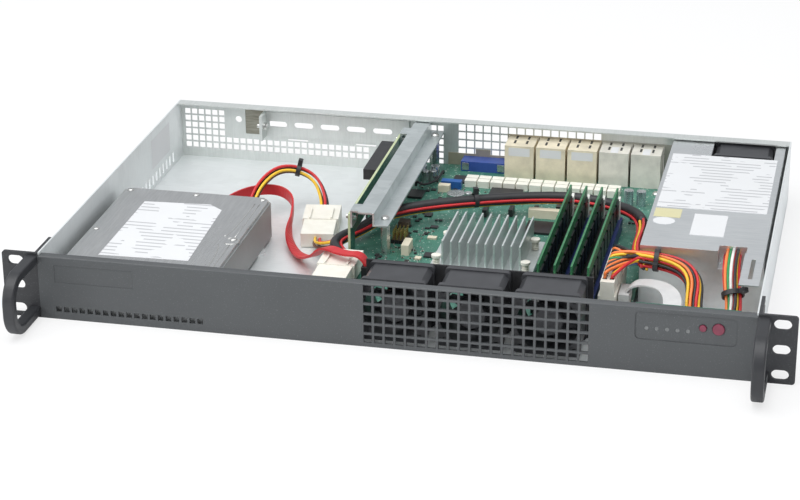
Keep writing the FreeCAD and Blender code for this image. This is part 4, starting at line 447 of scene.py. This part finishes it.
# Round tubes along lines, closed at both ends: each ring is the line's point plus the radius times the
# cosine and the sine of evenly spaced angles along the two directions across the line.
def tubes(name, paths, radius, material, sides=8):
    vertices, faces, start = [], [], 0
    around = np.linspace(0, 2 * math.pi, sides, endpoint=False)
    for path in paths:
        first, second = carried(path)
        ring = (np.cos(around)[None, :, None] * first[:, None, :]
                + np.sin(around)[None, :, None] * second[:, None, :])
        vertices.append((path[:, None, :] + radius * ring).reshape(-1, 3))
        rows = np.arange(len(path) - 1)[:, None] * sides
        columns = np.arange(sides)[None]
        after = (columns + 1) % sides
        quads = np.stack([rows + columns, rows + after, rows + sides + after, rows + sides + columns], -1)
        faces += (quads.reshape(-1, 4) + start).tolist()
        faces.append((np.arange(sides)[::-1] + start).tolist())
        faces.append((np.arange(sides) + start + (len(path) - 1) * sides).tolist())
        start += len(path) * sides
    piece = addMesh(name, np.vstack(vertices), faces, material)
    piece.data.polygons.foreach_set("use_smooth", [True] * len(piece.data.polygons))
    return piece


# Thin plates: each outline is a flat polygon given with the direction it faces, and its second face is
# the outline moved by the thickness along that direction.
def sheets(name, outlines, thick, material):
    vertices, faces, start = [], [], 0
    for points, facing in outlines:
        points = np.array(points, float)
        away = np.array(facing, float) * thick
        count = len(points)
        vertices += [points, points + away]
        lower = list(range(start, start + count))
        upper = [index + count for index in lower]
        normal = np.cross(points[1] - points[0], points[2] - points[1])
        if normal.dot(away) < 0:
            lower, upper = lower[::-1], upper[::-1]
        faces.append(lower[::-1])
        faces.append(upper)
        for index in range(count):
            after = (index + 1) % count
            faces.append([lower[index], lower[after], upper[after], upper[index]])
        start += 2 * count
    return addMesh(name, np.vstack(vertices), faces, material)


# Paper, bare or with plain grey rules spaced by rows, in metres; no words.
def labelSurface(name, paper, ink, rows):
    material, tree, place = newSurface(name)
    parts = addNode(tree, "ShaderNodeSeparateXYZ", None, i0=place)
    grain = useGroup(tree, grainGroup, Vector=place, Fine=1600.0, Slow=40.0)
    base = mixColour(tree, spread(tree, grain.outputs[1], 0.0, 0.12), paper, colour(0.6, 0.6, 0.58))
    if rows:
        wave = mathNode(tree, "PINGPONG", parts.outputs[1], rows)
        line = mathNode(tree, "LESS_THAN", wave, rows * 0.3)
        ends = addNode(tree, "ShaderNodeTexNoise", None, Vector=place, Scale=55.0)
        line = mathNode(tree, "MULTIPLY", line, mathNode(tree, "GREATER_THAN", ends.outputs[0], 0.5))
        base = mixColour(tree, mathNode(tree, "MULTIPLY", line, 0.5), base, ink)
    finishSurface(tree, base, spread(tree, grain.outputs[0], 0.4, 0.5), 0.0, grain.outputs[0], 0.04)
    return material


whitePaper = labelSurface("whitePaper", colour(0.76, 0.77, 0.78), colour(0.3, 0.3, 0.32), 0.0)
ruledPaper = labelSurface("ruledPaper", colour(0.76, 0.77, 0.78), colour(0.2, 0.2, 0.22), 0.0026)
goldPaper = labelSurface("goldPaper", colour(0.66, 0.62, 0.36), colour(0.3, 0.3, 0.25), 0.0)
paperThick = 0.00012


# A label lying face up, from its corners.
def flatLabel(name, corners, z, material):
    points = [at(x, depth, z) for x, depth in corners]
    return sheets(name, [(points, (0, 0, 1))], paperThick, material)


# The corners of a rectangle.
def oblong(left, front, wide, deep):
    return [(left, front), (left + wide, front), (left + wide, front + deep), (left, front + deep)]


# The labels on the drive, on the power supply and on the inside of the left wall.
def makeLabels():
    labels = {"driveTop": 29.1, "supplyTop": 41.0, "lift": 0.02,
              "drive": [(-192.4, 36), (-134.6, 38), (-138, 122), (-148, 130), (-192.4, 127)],
              "supplyMain": (141.5, 157, 70, 97), "supplyGold": (141.5, 140, 17, 14.5),
              "supplySmall": (167, 114, 21, 35), "oval": (149, 133.5, 7, 6),
              "sheet": 0.00102, "wallDepths": (217, 257), "wallHeights": (0.0155, 0.0365)}
    flatLabel("driveLabel", labels["drive"], labels["driveTop"] + labels["lift"], ruledPaper)
    top = labels["supplyTop"] + labels["lift"]
    flatLabel("supplyMainLabel", oblong(*labels["supplyMain"]), top, ruledPaper)
    flatLabel("supplyGoldLabel", oblong(*labels["supplyGold"]), top, goldPaper)
    flatLabel("supplySmallLabel", oblong(*labels["supplySmall"]), top, whitePaper)
    turn = np.linspace(0, 2 * math.pi, 32, endpoint=False)
    x, depth, halfWide, halfDeep = labels["oval"]
    oval = list(zip(x + halfWide * np.cos(turn), depth + halfDeep * np.sin(turn)))
    flatLabel("supplyOvalLabel", oval, top, whitePaper)
    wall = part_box("chassis_tray")[0][0] + labels["sheet"]
    near, far = [at(0, depth, 0)[1] for depth in labels["wallDepths"]]
    low, high = labels["wallHeights"]
    side = [(wall, near, low), (wall, far, low), (wall, far, high), (wall, near, high)]
    sheets("wallLabel", [(side, (1, 0, 0))], paperThick, whitePaper)


# Painted shade: dark patches on the tops of the shells where the cuts round each spring clip lie; then
# white stickers, and gold contacts inside the mouths: contact i lies at the mouth's middle plus the pitch
# times i less half their count.
def makePortTrim():
    port = {"clip": (0.00075, 0.003, 0.00008), "clipAcross": 0.0042, "clipBack": (0.0085, 0.0175),
            "contacts": 8, "contactPitch": 1.1, "contact": (0.00022, 0.0045, 0.00035),
            "frontSticker": (0.0074, 0.00008, 0.003), "frontStickerAt": 0.0292,
            "topSticker": (0.0026, 0.0055, 0.00012), "topStickerBack": 0.006}
    low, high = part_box("network_ports")
    # A near-black that stands for shade and is not a colour of the parts: painted shade in the cuts and in
    # socket holes.
    paintedShadeDark = plainSurface("paintedShadeDark", ((0.02, 0.02, 0.02), (0.05, 0.05, 0.045)), 0.5)
    gold = plainSurface("contactGold", ((0.75, 0.52, 0.18), (0.85, 0.62, 0.25)), 0.25, 0.9)
    openings = frame["record"]["physics"]["openings"]
    offsets = (np.arange(port["contacts"]) - (port["contacts"] - 1) / 2) * port["contactPitch"] * 0.001
    clipShades, stickers, stickerHalves, contacts = [], [], [], []
    for mouth in openings:
        if not mouth["name"].startswith("network"):
            continue
        mouthLow, mouthHigh = np.array(mouth["box_m"])
        middle = (mouthLow[0] + mouthHigh[0]) / 2
        upper = mouth["name"].endswith("high")
        roof = mouthHigh[2] if upper else mouthLow[2]
        contacts += [(middle + offset, mouthLow[1] + port["contact"][1], roof) for offset in offsets]
        if not upper:
            continue
        clipShades += [(middle + side * port["clipAcross"], low[1] + back, high[2])
                  for side in (-1, 1) for back in port["clipBack"]]
        if middle < portDivide:
            stickers.append((middle, low[1], port["frontStickerAt"]))
            stickerHalves.append(port["frontSticker"])
        else:
            stickers.append((middle, low[1] + port["topStickerBack"], high[2]))
            stickerHalves.append(port["topSticker"])
    # Painted shade of the cuts, laid as thin dark patches on top of the shells.
    boxes("portClipShade", clipShades, port["clip"], paintedShadeDark)
    boxes("portStickers", stickers, stickerHalves, whitePaper)
    boxes("portContacts", contacts, port["contact"], gold)
    return paintedShadeDark, gold


# Upright round parts: each ring is the centre plus the radius times the cosine and the sine of evenly
# spaced angles, and the top ring is smaller, for a chamfer.
def cans(name, centres, radius, bottom, top, material, sides=20):
    turn = np.linspace(0, 2 * math.pi, sides, endpoint=False)
    circle = np.stack([np.cos(turn), np.sin(turn)], -1)
    vertices, faces, start = [], [], 0
    for x, y in centres:
        for share, z in ((1.0, bottom), (1.0, top - 0.06 * (top - bottom)), (0.88, top)):
            vertices.append(np.column_stack([circle * radius * share + (x, y), np.full(sides, z)]))
        for level in range(2):
            rows = start + level * sides
            faces += [[rows + i, rows + (i + 1) % sides, rows + sides + (i + 1) % sides, rows + sides + i]
                      for i in range(sides)]
        faces.append([start + i for i in range(sides)][::-1])
        faces.append([start + 2 * sides + i for i in range(sides)])
        start += 3 * sides
    return addMesh(name, np.vstack(vertices), faces, material)


# The centre and half sizes of a box standing on the board.
def onBoard(x, depth, wide, deep, tall, base):
    return at(x, depth, base + tall / 2), (wide * 0.0005, deep * 0.0005, tall * 0.0005)


# Boxes standing on the board, each given by its middle, its width, its depth and its height.
def boardBoxes(name, items, material, base=9.2):
    places, halves = zip(*[onBoard(*item, base=base) for item in items])
    return boxes(name, places, halves, material)


# The parts soldered to the main board. The scattered ones stand in rows, as a machine places them.
def makeBoardParts(gold):
    board = {"chips": [(-4, 256, 13, 13, 1.2), (-29.8, 222.5, 10, 14, 1.6), (1.8, 121, 9, 7, 1.2),
                       (63.6, 180, 20, 20, 1.6), (30, 232, 22, 22, 1.8), (-10, 205, 8, 6, 1.4),
                       (72, 222, 9, 9, 1.2), (-44, 205, 6, 9, 1.3), (104, 214, 7, 7, 1.1),
                       (123, 210, 8, 6, 1.3), (-6, 168, 5, 4, 1.0), (-14, 188, 5, 6, 1.2)],
             "connectors": [(-12.6, 233.7, 8, 5, 5), (-15, 125, 5, 13, 7), (64, 200, 24, 5, 6)],
             "blueConnector": [(-9, 241, 14, 5.5, 5.5)],
             "tinyFields": ((-31, 150, 30, 52, 16), (-32, 216, 40, 24, 10),
                            (76, 199, 50, 10, 7), (-34, 104, 26, 30, 9)),
             "tinySizes": (1.4, 3.6), "tinyTall": 0.8,
             "inductors": [(-26, 167, 7, 7, 4), (84, 213, 7, 7, 4), (94, 205, 7, 7, 4),
                           (20, 214, 6, 6, 3.5)],
             "headers": [(23, 197, 3, 9, 5), (40, 201, 3, 9, 5), (56, 204, 3, 9, 5)],
             "whiteChips": [(-3.5, 149.7, 6, 4, 1.2), (-5.5, 115, 4, 4, 1.2)],
             "header": (142.5, 2.4, 12.5, 2.5), "pinLeft": -27, "pinFront": 137.4, "pinMiddle": 9.2 + 5.5,
             "pinPitch": 2.54, "pin": (0.00032, 0.00032, 0.0032),
             "cans": ((-29, 248), (-24, 250), (84, 223), (95, 216), (8, 214)),
             "canRadius": 0.0026, "canTall": 0.0085, "cell": (-2.8, 225), "cellRadius": 0.0062,
             "cellTall": 0.003,
             "fields": ((-32, 215, 92, 40, 90), (-34, 104, 30, 60, 55), (78, 205, 46, 30, 40)),
             "rowPitch": 2.6, "smallAt": 9.2 + 0.3, "smallBody": (0.0008, 0.0004, 0.0003),
             "smallEnd": (0.00022, 0.00042, 0.00032),
             "loop": ((-33, 235, 11), (-32, 235, 14), (-27.5, 236, 12), (-21, 245.6, 12), (-19.7, 263, 12),
                      (-19.7, 265, 10)), "loopRadius": 0.0009}
    chipBlack = plainSurface("chipBlack", ((0.014, 0.014, 0.016), (0.028, 0.028, 0.03)), 0.36,
                             slow=90.0)
    cream = plainSurface("creamPlastic", ((0.70, 0.64, 0.48), (0.8, 0.75, 0.6)), 0.42, slow=90.0)
    blue = plainSurface("bluePlastic", ((0.02, 0.10, 0.34), (0.03, 0.15, 0.45)), 0.38, slow=90.0)
    tinned = plainSurface("tinned", ((0.5, 0.52, 0.52), (0.68, 0.7, 0.7)), 0.28, 0.9, slow=200.0)
    ferrite = plainSurface("ferrite", ((0.10, 0.07, 0.05), (0.15, 0.11, 0.08)), 0.6, slow=90.0)
    boardBoxes("boardChips", board["chips"], chipBlack)
    boardBoxes("boardConnectors", board["connectors"], cream)
    boardBoxes("boardBlueConnector", board["blueConnector"], blue)
    tinyRandom = np.random.default_rng(3)
    places = [(x, depth) for left, front, wide, deep, count in board["tinyFields"]
              for x, depth in tinyRandom.random((count, 2)) * (wide, deep) + (left, front)]
    sizes = tinyRandom.uniform(*board["tinySizes"], (len(places), 2))
    tiny = [(x, depth, wide, deep, board["tinyTall"]) for (x, depth), (wide, deep) in zip(places, sizes)]
    boardBoxes("tinyChips", tiny, chipBlack)
    boardBoxes("boardInductors", board["inductors"], ferrite)
    rows = [board["pinLeft"] + board["pinPitch"] * row for row in range(4)]
    boardBoxes("pinHeaders", [(x, *board["header"]) for x in rows] + board["headers"], chipBlack)
    boardBoxes("whiteChips", board["whiteChips"], cream)
    pins = [at(x, board["pinFront"] + board["pinPitch"] * step, board["pinMiddle"])
            for x in rows for step in range(5)]
    boxes("headerPins", pins, board["pin"], gold)
    cans("boardCans", [at(x, depth, 0)[:2] for x, depth in board["cans"]], board["canRadius"], boardTop,
         boardTop + board["canTall"], tinned)
    cans("boardCell", [at(*board["cell"], 0)[:2]], board["cellRadius"], boardTop,
         boardTop + board["cellTall"], tinned, 32)
    smallRandom = np.random.default_rng(7)
    bodyLong, bodyWide, bodyTall = board["smallBody"]
    endLong, endWide, endTall = board["smallEnd"]
    centres, halves, ends, endHalves = [], [], [], []
    for left, front, wide, deep, count in board["fields"]:
        along = smallRandom.random((count, 2)) * (wide, deep) + (left, front)
        along = np.round(along / board["rowPitch"]) * board["rowPitch"]
        turned = smallRandom.random(count) < 0.5
        for (x, depth), across in zip(np.unique(along, axis=0), turned):
            place = np.array(at(x, depth, board["smallAt"]))
            shift = np.array([bodyLong, 0, 0] if across else [0, bodyLong, 0])
            centres.append(place)
            halves.append((bodyLong, bodyWide, bodyTall) if across else (bodyWide, bodyLong, bodyTall))
            ends += [place - shift, place + shift]
            endHalves += [(endLong, endWide, endTall) if across else (endWide, endLong, endTall)] * 2
    boxes("smallBodies", centres, halves, ferrite)
    boxes("smallEnds", ends, endHalves, tinned)
    loop = smooth([at(*point) for point in board["loop"]])
    tubes("boardLoopLead", [loop], board["loopRadius"], blackLead)
    return tinned


# Points along the smooth spline that has a route's corners as its control points.
def routed(corners, steps=6):
    curve = bpy.data.curves.new("route", "CURVE")
    curve.dimensions = "3D"
    curve.resolution_u = steps
    spline = curve.splines.new("NURBS")
    spline.points.add(len(corners) - 1)
    for point, corner in zip(spline.points, corners):
        point.co = (*corner, 1)
    spline.order_u = 3
    spline.use_endpoint_u = True
    holder = bpy.data.objects.new("route", curve)
    line = bpy.data.meshes.new_from_object(holder)
    path = np.array([list(vertex.co) for vertex in line.vertices])
    bpy.data.objects.remove(holder)
    bpy.data.curves.remove(curve)
    bpy.data.meshes.remove(line)
    return path


# The colours of the wires, and the corners of the route of each bundle.
strandTones = {"Red": (0.55, 0.02, 0.025), "Yellow": (0.80, 0.50, 0.03), "Orange": (0.80, 0.20, 0.05),
               "Black": (0.02, 0.02, 0.022), "Green": (0.02, 0.25, 0.08), "White": (0.7, 0.68, 0.66),
               "Blue": (0.08, 0.16, 0.42), "Brown": (0.12, 0.05, 0.03)}
harnessRoute = [at(195.5, 101, 35.3), at(196, 74, 34.7), at(202, 56, 15), at(197, 42, 9), at(181, 42, 9),
                at(176, 58, 16), at(175, 77, 29), at(160, 84.5, 34.5), at(141, 84.5, 35)]
bundleRoute = [at(145, 81, 34), at(134.4, 104, 29), at(134.4, 177.2, 22.2), at(112.9, 206.2, 20.2),
               at(68.2, 212.2, 22.2), at(-32.5, 166, 23.2), at(-49.5, 143, 15.5), at(-62, 122, 15.5),
               at(-58, 104, 16.35), at(-48, 91, 16.35)]
branchRoute = [at(-78.5, 138, 6.25), at(-75.5, 120, 8.25), at(-60.5, 115, 15.5)]
driveRoute = [at(-134, 162, 8.5), at(-134, 171, 9.5), at(-131, 188, 23.5), at(-120, 207, 29.5),
              at(-98.3, 209.4, 24.2), at(-88.3, 200.4, 8.2), at(-86.3, 187.4, 6.25)]


# Wires packed in a round bundle: wire i lies at spread times the root of (i + 0.5) / count, turned by
# the golden angle. Past the tie each bends over to its own socket of the plug.
def harnessStrands(count, spread):
    ends = {"goldenAngle": 2.4, "twists": 0.5, "shares": (0.3, 0.7), "margin": 0.004, "rise": 0.0045,
            "rowDrop": 0.002, "lead": 0.0012, "dip": 0.001}
    middle = routed(harnessRoute)
    low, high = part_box("main_power_plug")
    dip, columnDeep = ends["dip"], high[1] - low[1] - 2 * ends["margin"]
    paths = []
    for index in range(count):
        path = beside(middle, spread * math.sqrt((index + 0.5) / count), index * ends["goldenAngle"],
                      ends["twists"])
        column, row = divmod(index, 2)
        across = low[0] + (high[0] - low[0]) * ends["shares"][row]
        along = low[1] + ends["margin"] + columnDeep * (column + 0.5) * 2 / count
        rise = high[2] + ends["rise"] - row * ends["rowDrop"]
        end = smooth([path[-1], (path[-1] + (across, along, rise)) / 2 + (0, 0, dip),
                      (across + ends["lead"], along, rise), (across, along, high[2] + dip),
                      (across, along, high[2] - dip)])
        paths.append(np.vstack([path[:-1], end]))
    return paths


# Single wires along each bundle, in a few colours, and the black sleeve of the long one.
def makeStrands():
    strands = {"radius": 0.00098, "spread": 0.0049, "sleeve": 0.0033, "beside": 0.0041, "loose": 0.0022,
               "sleeveFrom": at(0, 166, 0)[1], "paler": 1.3,
               "besideTurns": {"Red": 2.6, "Black": 2.1, "Yellow": 1.6},
               "bareOrder": ("Black", "Red", "Yellow", "Red", "Black"),
               "branchOrder": ("Brown", "Black", "Red", "Yellow")}
    order = ["Orange", "Red", "Black", "Yellow", "Orange", "Blue", "Black", "Red", "Orange", "Black",
             "Green", "Red", "Yellow", "Brown", "Orange", "White", "Black", "Red", "Orange", "Yellow",
             "Black", "Red"]
    loose = strands["loose"]
    paths = {name: [] for name in strandTones}
    for name, path in zip(order, harnessStrands(len(order), strands["spread"])):
        paths[name].append(path)
    bundle, branch, drive = routed(bundleRoute), routed(branchRoute), routed(driveRoute)
    for name, turn in strands["besideTurns"].items():
        paths[name].append(beside(bundle, strands["beside"], turn, 0.12))
    bare = int(np.argmax(bundle[:, 1] > strands["sleeveFrom"]))
    for turn, name in enumerate(strands["bareOrder"]):
        paths[name].append(beside(bundle[:bare + 3], loose, turn * 1.26, 0.2))
    for turn, name in enumerate(strands["branchOrder"]):
        angle = turn * math.pi / 2 + 0.5
        paths[name].append(beside(branch, loose, angle, 0.1))
        paths[name].append(beside(drive, loose, angle, 0.25))
    for name, tone in strandTones.items():
        paler = [part * strands["paler"] for part in tone]
        surface = plainSurface("strand" + name, (tone, paler), 0.36, slow=60.0)
        piece = tubes("strands" + name, paths[name], strands["radius"], surface)
        if name in strands["branchOrder"]:
            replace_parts(piece, "supply_harness", "drive_power_lead")
        else:
            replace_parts(piece, "supply_harness")
    sleeve = tubes("bundleSleeve", [bundle[bare:]], strands["sleeve"], blackLead, 16)
    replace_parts(sleeve, "supply_harness")


# A flat lead along a line: at each point the line plus and minus half its width along the level
# direction across it, turned about the line by its lean, and half its thickness along the third
# direction.
def strap(name, path, wide, thick, material, lean=0.0):
    ahead = np.gradient(path, axis=0)
    ahead /= np.linalg.norm(ahead, axis=1)[:, None]
    side = np.cross(ahead, [0, 0, 1.0])
    side /= np.linalg.norm(side, axis=1)[:, None]
    face = np.cross(side, ahead)
    lean = np.broadcast_to(lean, len(path))[:, None]
    side, face = side * np.cos(lean) + face * np.sin(lean), face * np.cos(lean) - side * np.sin(lean)
    side, face = side * wide / 2, face * thick / 2
    ring = np.stack([path + side + face, path - side + face, path - side - face, path + side - face], 1)
    rows = np.arange(len(path) - 1)[:, None] * 4
    columns = np.arange(4)[None]
    after = (columns + 1) % 4
    quads = np.stack([rows + columns, rows + 4 + columns, rows + 4 + after, rows + after], -1)
    ends = [[0, 1, 2, 3], [(len(path) - 1) * 4 + index for index in (3, 2, 1, 0)]]
    return addMesh(name, ring.reshape(-1, 3), quads.reshape(-1, 4).tolist() + ends, material)


# The corners of the red lead's route, from the drive to the board.
dataRoute = [at(-156.8, 160, 8.5), at(-156.5, 176, 9.5), at(-142, 192, 15), at(-122, 198, 16.5),
             at(-107, 187, 14), at(-103, 165, 9), at(-99, 140, 6), at(-85, 114, 4), at(-70, 98, 12),
             at(-60, 86, 26), at(-44, 74, 26.5), at(-31, 71, 29), at(-28.5, 71, 21.5)]


# The flat red lead from the drive to the board: on its edge behind the drive, then flat.
def makeDataLead():
    lead = {"wide": 0.0072, "thick": 0.0013, "leanAt": (0, 0.42, 0.6, 1), "lean": (90, 90, 0, 0)}
    path = routed(dataRoute)
    lean = np.radians(np.interp(np.linspace(0, 1, len(path)), lead["leanAt"], lead["lean"]))
    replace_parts(strap("dataRibbon", path, lead["wide"], lead["thick"], redLead, lean), "data_lead")


# The flat grey lead from the board's front header to the control board, and its plug.
def makeControlLead():
    lead = {"wide": 0.011, "thick": 0.0011, "plug": (133.7, 68, 6.5, 17, 7), "plugBase": 14.0,
            "route": ((134, 68, 17), (135.5, 68, 24), (146, 66, 28), (160, 58, 29), (166, 44, 26),
                      (163, 30, 20), (161, 19.6, 18.5))}
    pale = plainSurface("ribbonGrey", ((0.55, 0.55, 0.55), (0.68, 0.68, 0.67)), 0.45, slow=70.0)
    path = routed([at(*point) for point in lead["route"]])
    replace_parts(strap("controlRibbon", path, lead["wide"], lead["thick"], pale), "control_lead")
    boardBoxes("controlPlug", [lead["plug"]], pale, base=lead["plugBase"])


# Painted shade: dark patches in the top of the main plug and in the ends of the in-line connectors, where
# their socket holes are. The first connector is turned, so its sockets lie at its back end plus their
# offset along its turned width.
def makePlugDetail(paintedShadeDark):
    plug = {"pins": 12, "margin": 0.0055, "shares": (0.3, 0.7), "hole": (0.0013, 0.0013, 0.00008)}
    joiner = {"turn": 9, "reach": 50.06, "pitch": 5.08, "first": (-78.5, 138), "firstTall": 6.6,
              "second": (-48, 93.02), "secondTall": 16.6, "hole": (0.0011, 0.00012, 0.0011)}
    low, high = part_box("main_power_plug")
    rows = [(low[0] + (high[0] - low[0]) * share, y, high[2])
            for y in np.linspace(low[1] + plug["margin"], high[1] - plug["margin"], plug["pins"])
            for share in plug["shares"]]
    # Painted shade of the plug's socket holes, as thin dark patches on its top.
    boxes("plugSocketShade", rows, plug["hole"], paintedShadeDark)
    sine, cosine = math.sin(math.radians(joiner["turn"])), math.cos(math.radians(joiner["turn"]))
    holes = []
    for step in (-1.5, -0.5, 0.5, 1.5):
        shift = step * joiner["pitch"]
        holes.append(at(joiner["first"][0] - joiner["reach"] * sine + shift * cosine,
                        joiner["first"][1] + joiner["reach"] * cosine + shift * sine, joiner["firstTall"]))
        holes.append(at(joiner["second"][0] + shift, joiner["second"][1], joiner["secondTall"]))
    boxes("joinerSocketShade", holes, joiner["hole"], paintedShadeDark)


# The bright gasket lines pressed along the right side of the drive's lid, with a ring round a screw:
# the ring is its middle plus its radius times the cosine and the sine, open to the left.
def makeDriveTrim():
    trim = {"inset": 0.007, "radius": 0.00033, "ring": 0.005, "ringRight": 0.0025, "ringOpen": 0.9,
            "end": 0.012, "bend": (0.004, 0.007), "second": 0.0032, "secondGap": 0.006, "forward": 0.003}
    shine = plainSurface("gasketLine", ((0.62, 0.62, 0.6), (0.75, 0.75, 0.73)), 0.3, 0.85)
    low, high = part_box("drive_cover")
    x, top, middle = high[0] - trim["inset"], high[2] + 0.00002, (low[1] + high[1]) / 2 - trim["forward"]
    back, front, end = high[1] - trim["end"], low[1] + trim["end"], trim["end"]
    left, bend = x - trim["bend"][0], trim["bend"][1]
    right, gap = x + trim["second"], trim["secondGap"]
    runs = [[(x, back, top), (x, middle + end, top), (left, middle + bend, top)],
            [(left, middle - bend, top), (x, middle - end, top), (x, front, top)],
            [(right, back, top), (right, middle + gap, top)],
            [(right, middle - gap, top), (right, front, top)]]
    turn = np.linspace(trim["ringOpen"], 2 * math.pi - trim["ringOpen"], 24)
    ring = np.column_stack([x + trim["ringRight"] - trim["ring"] * np.cos(turn),
                            middle - trim["ring"] * np.sin(turn), np.full(24, top)])
    tubes("gasketLines", [routed(run) for run in runs] + [ring], trim["radius"], shine, 6)


# The bare pale edges of the riser card, and the plate that closes a hole of the rear wall: real metal,
# drawn darker as painted shade of the recess behind the hole.
def makeEdges():
    edges = {"halfCard": 0.0008, "thin": 0.00005, "clampAt": (-0.1624, 0.0302),
             "clamp": (0.00695, 0.0002, 0.00915)}
    edge = plainSurface("cutEdge", ((0.45, 0.52, 0.30), (0.6, 0.66, 0.42)), 0.5, slow=90.0)
    low, high = [np.array(corner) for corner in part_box("riser_card")]
    middle, half = (low + high) / 2, (high - low) / 2
    boxes("riserEdge", [(middle[0], middle[1], high[2]), (middle[0], low[1], middle[2] + 0.0002)],
          [(edges["halfCard"], half[1], edges["thin"]),
           (edges["halfCard"], edges["thin"], half[2] - 0.0004)], edge)
    # The plate's dark tones are painted shade of the recess behind the hole; its lighter tones are its own
    # plated metal.
    beige = brushedSurface("clampSteelAndRecessShade", ((0.20, 0.19, 0.15), (0.42, 0.41, 0.35)), 0.4, (1, 1, 12))
    x, z = edges["clampAt"]
    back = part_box("rear_panel")[1][1]
    boxes("slotClamp", [(x, back - 0.0004, z)], edges["clamp"], beige)


# Bright metal blocks at both ends of the video port, where its jack screws sit.
def makeVideoLobes(tinned):
    lobe = {"inset": 0.0032, "down": 0.0035, "proud": 0.0001, "half": (0.0024, 0.0003, 0.0026)}
    low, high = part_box("video_port")
    y, z = low[1] - lobe["proud"], high[2] - lobe["down"]
    middles = [(low[0] + lobe["inset"], y, z), (high[0] - lobe["inset"], y, z)]
    boxes("videoLobes", middles, lobe["half"], tinned)


makeLabels()
print("labels laid")
paintedShadeForHoles, contactGold = makePortTrim()
tinnedMetal = makeBoardParts(contactGold)
makeVideoLobes(tinnedMetal)
makeEdges()
makeDriveTrim()
print("board filled")
makeStrands()
makeDataLead()
makeControlLead()
makePlugDetail(paintedShadeForHoles)
print("leads laid")


# Mixes two shaders by an amount and puts the result out.
def mixOut(tree, amount, first, second, output):
    mixed = tree.nodes.new("ShaderNodeMixShader")
    for index, socket in enumerate((amount, first, second)):
        tree.links.new(socket, mixed.inputs[index])
    tree.links.new(mixed.outputs[0], tree.nodes.new(output).inputs[0])


# A wide pale floor, two soft lamps, and an even sky that is darker near the ground.
def makeStage():
    stage = {"floor": 6.0, "floorTone": 0.9, "floorGlow": 0.7, "sky": 0.8, "power": 21.0,
             "lamps": (("overhead", (-0.25, -0.35, 1.5), 1.6, 1.0),
                       ("frontFill", (-1.3, -1.2, 0.7), 0.9, 0.38))}
    corners = np.array([[-1, -1, 0], [1, -1, 0], [1, 1, 0], [-1, 1, 0]]) * stage["floor"]
    material, tree = newSurface("studioFloor")[:2]
    floor = addMesh("studioFloor", corners, [[0, 1, 2, 3]], material, None)
    rays = tree.nodes.new("ShaderNodeLightPath")
    seen = mathNode(tree, "MULTIPLY", rays.outputs["Is Camera Ray"], stage["floorGlow"])
    tone = stage["floorTone"]
    diffuse = addNode(tree, "ShaderNodeBsdfDiffuse", None, Color=colour(tone, tone, tone))
    glow = addNode(tree, "ShaderNodeEmission", None, Color=colour(1, 1, 1), Strength=1.0)
    mixOut(tree, seen, diffuse.outputs[0], glow.outputs[0], "ShaderNodeOutputMaterial")
    for name, place, size, share in stage["lamps"]:
        lamp = bpy.data.lights.new(name, "AREA")
        lamp.energy = stage["power"] * share
        lamp.size = size
        holder = bpy.data.objects.new(name, lamp)
        holder.location = place
        holder.rotation_euler = (-Vector(place)).to_track_quat("-Z", "Y").to_euler()
        bpy.context.scene.collection.objects.link(holder)
    world = bpy.data.worlds.new("studio")
    world.use_nodes = True
    tree = world.node_tree
    tree.nodes.clear()
    direction = tree.nodes.new("ShaderNodeTexCoord").outputs["Generated"]
    parts = addNode(tree, "ShaderNodeSeparateXYZ", None, i0=direction)
    height = addNode(tree, "ShaderNodeMapRange", None, i0=parts.outputs[2], i1=-0.2, i2=0.9, i3=0.0, i4=1.0)
    tone = mixColour(tree, height.outputs[0], colour(0.35, 0.36, 0.38), colour(0.85, 0.87, 0.9))
    sky = addNode(tree, "ShaderNodeBackground", None, Color=tone, Strength=stage["sky"])
    white = addNode(tree, "ShaderNodeBackground", None, Color=colour(1, 1, 1), Strength=1.0)
    rays = tree.nodes.new("ShaderNodeLightPath")
    mixOut(tree, rays.outputs["Is Camera Ray"], sky.outputs[0], white.outputs[0], "ShaderNodeOutputWorld")
    bpy.context.scene.world = world


makeStage()
print("stage set")
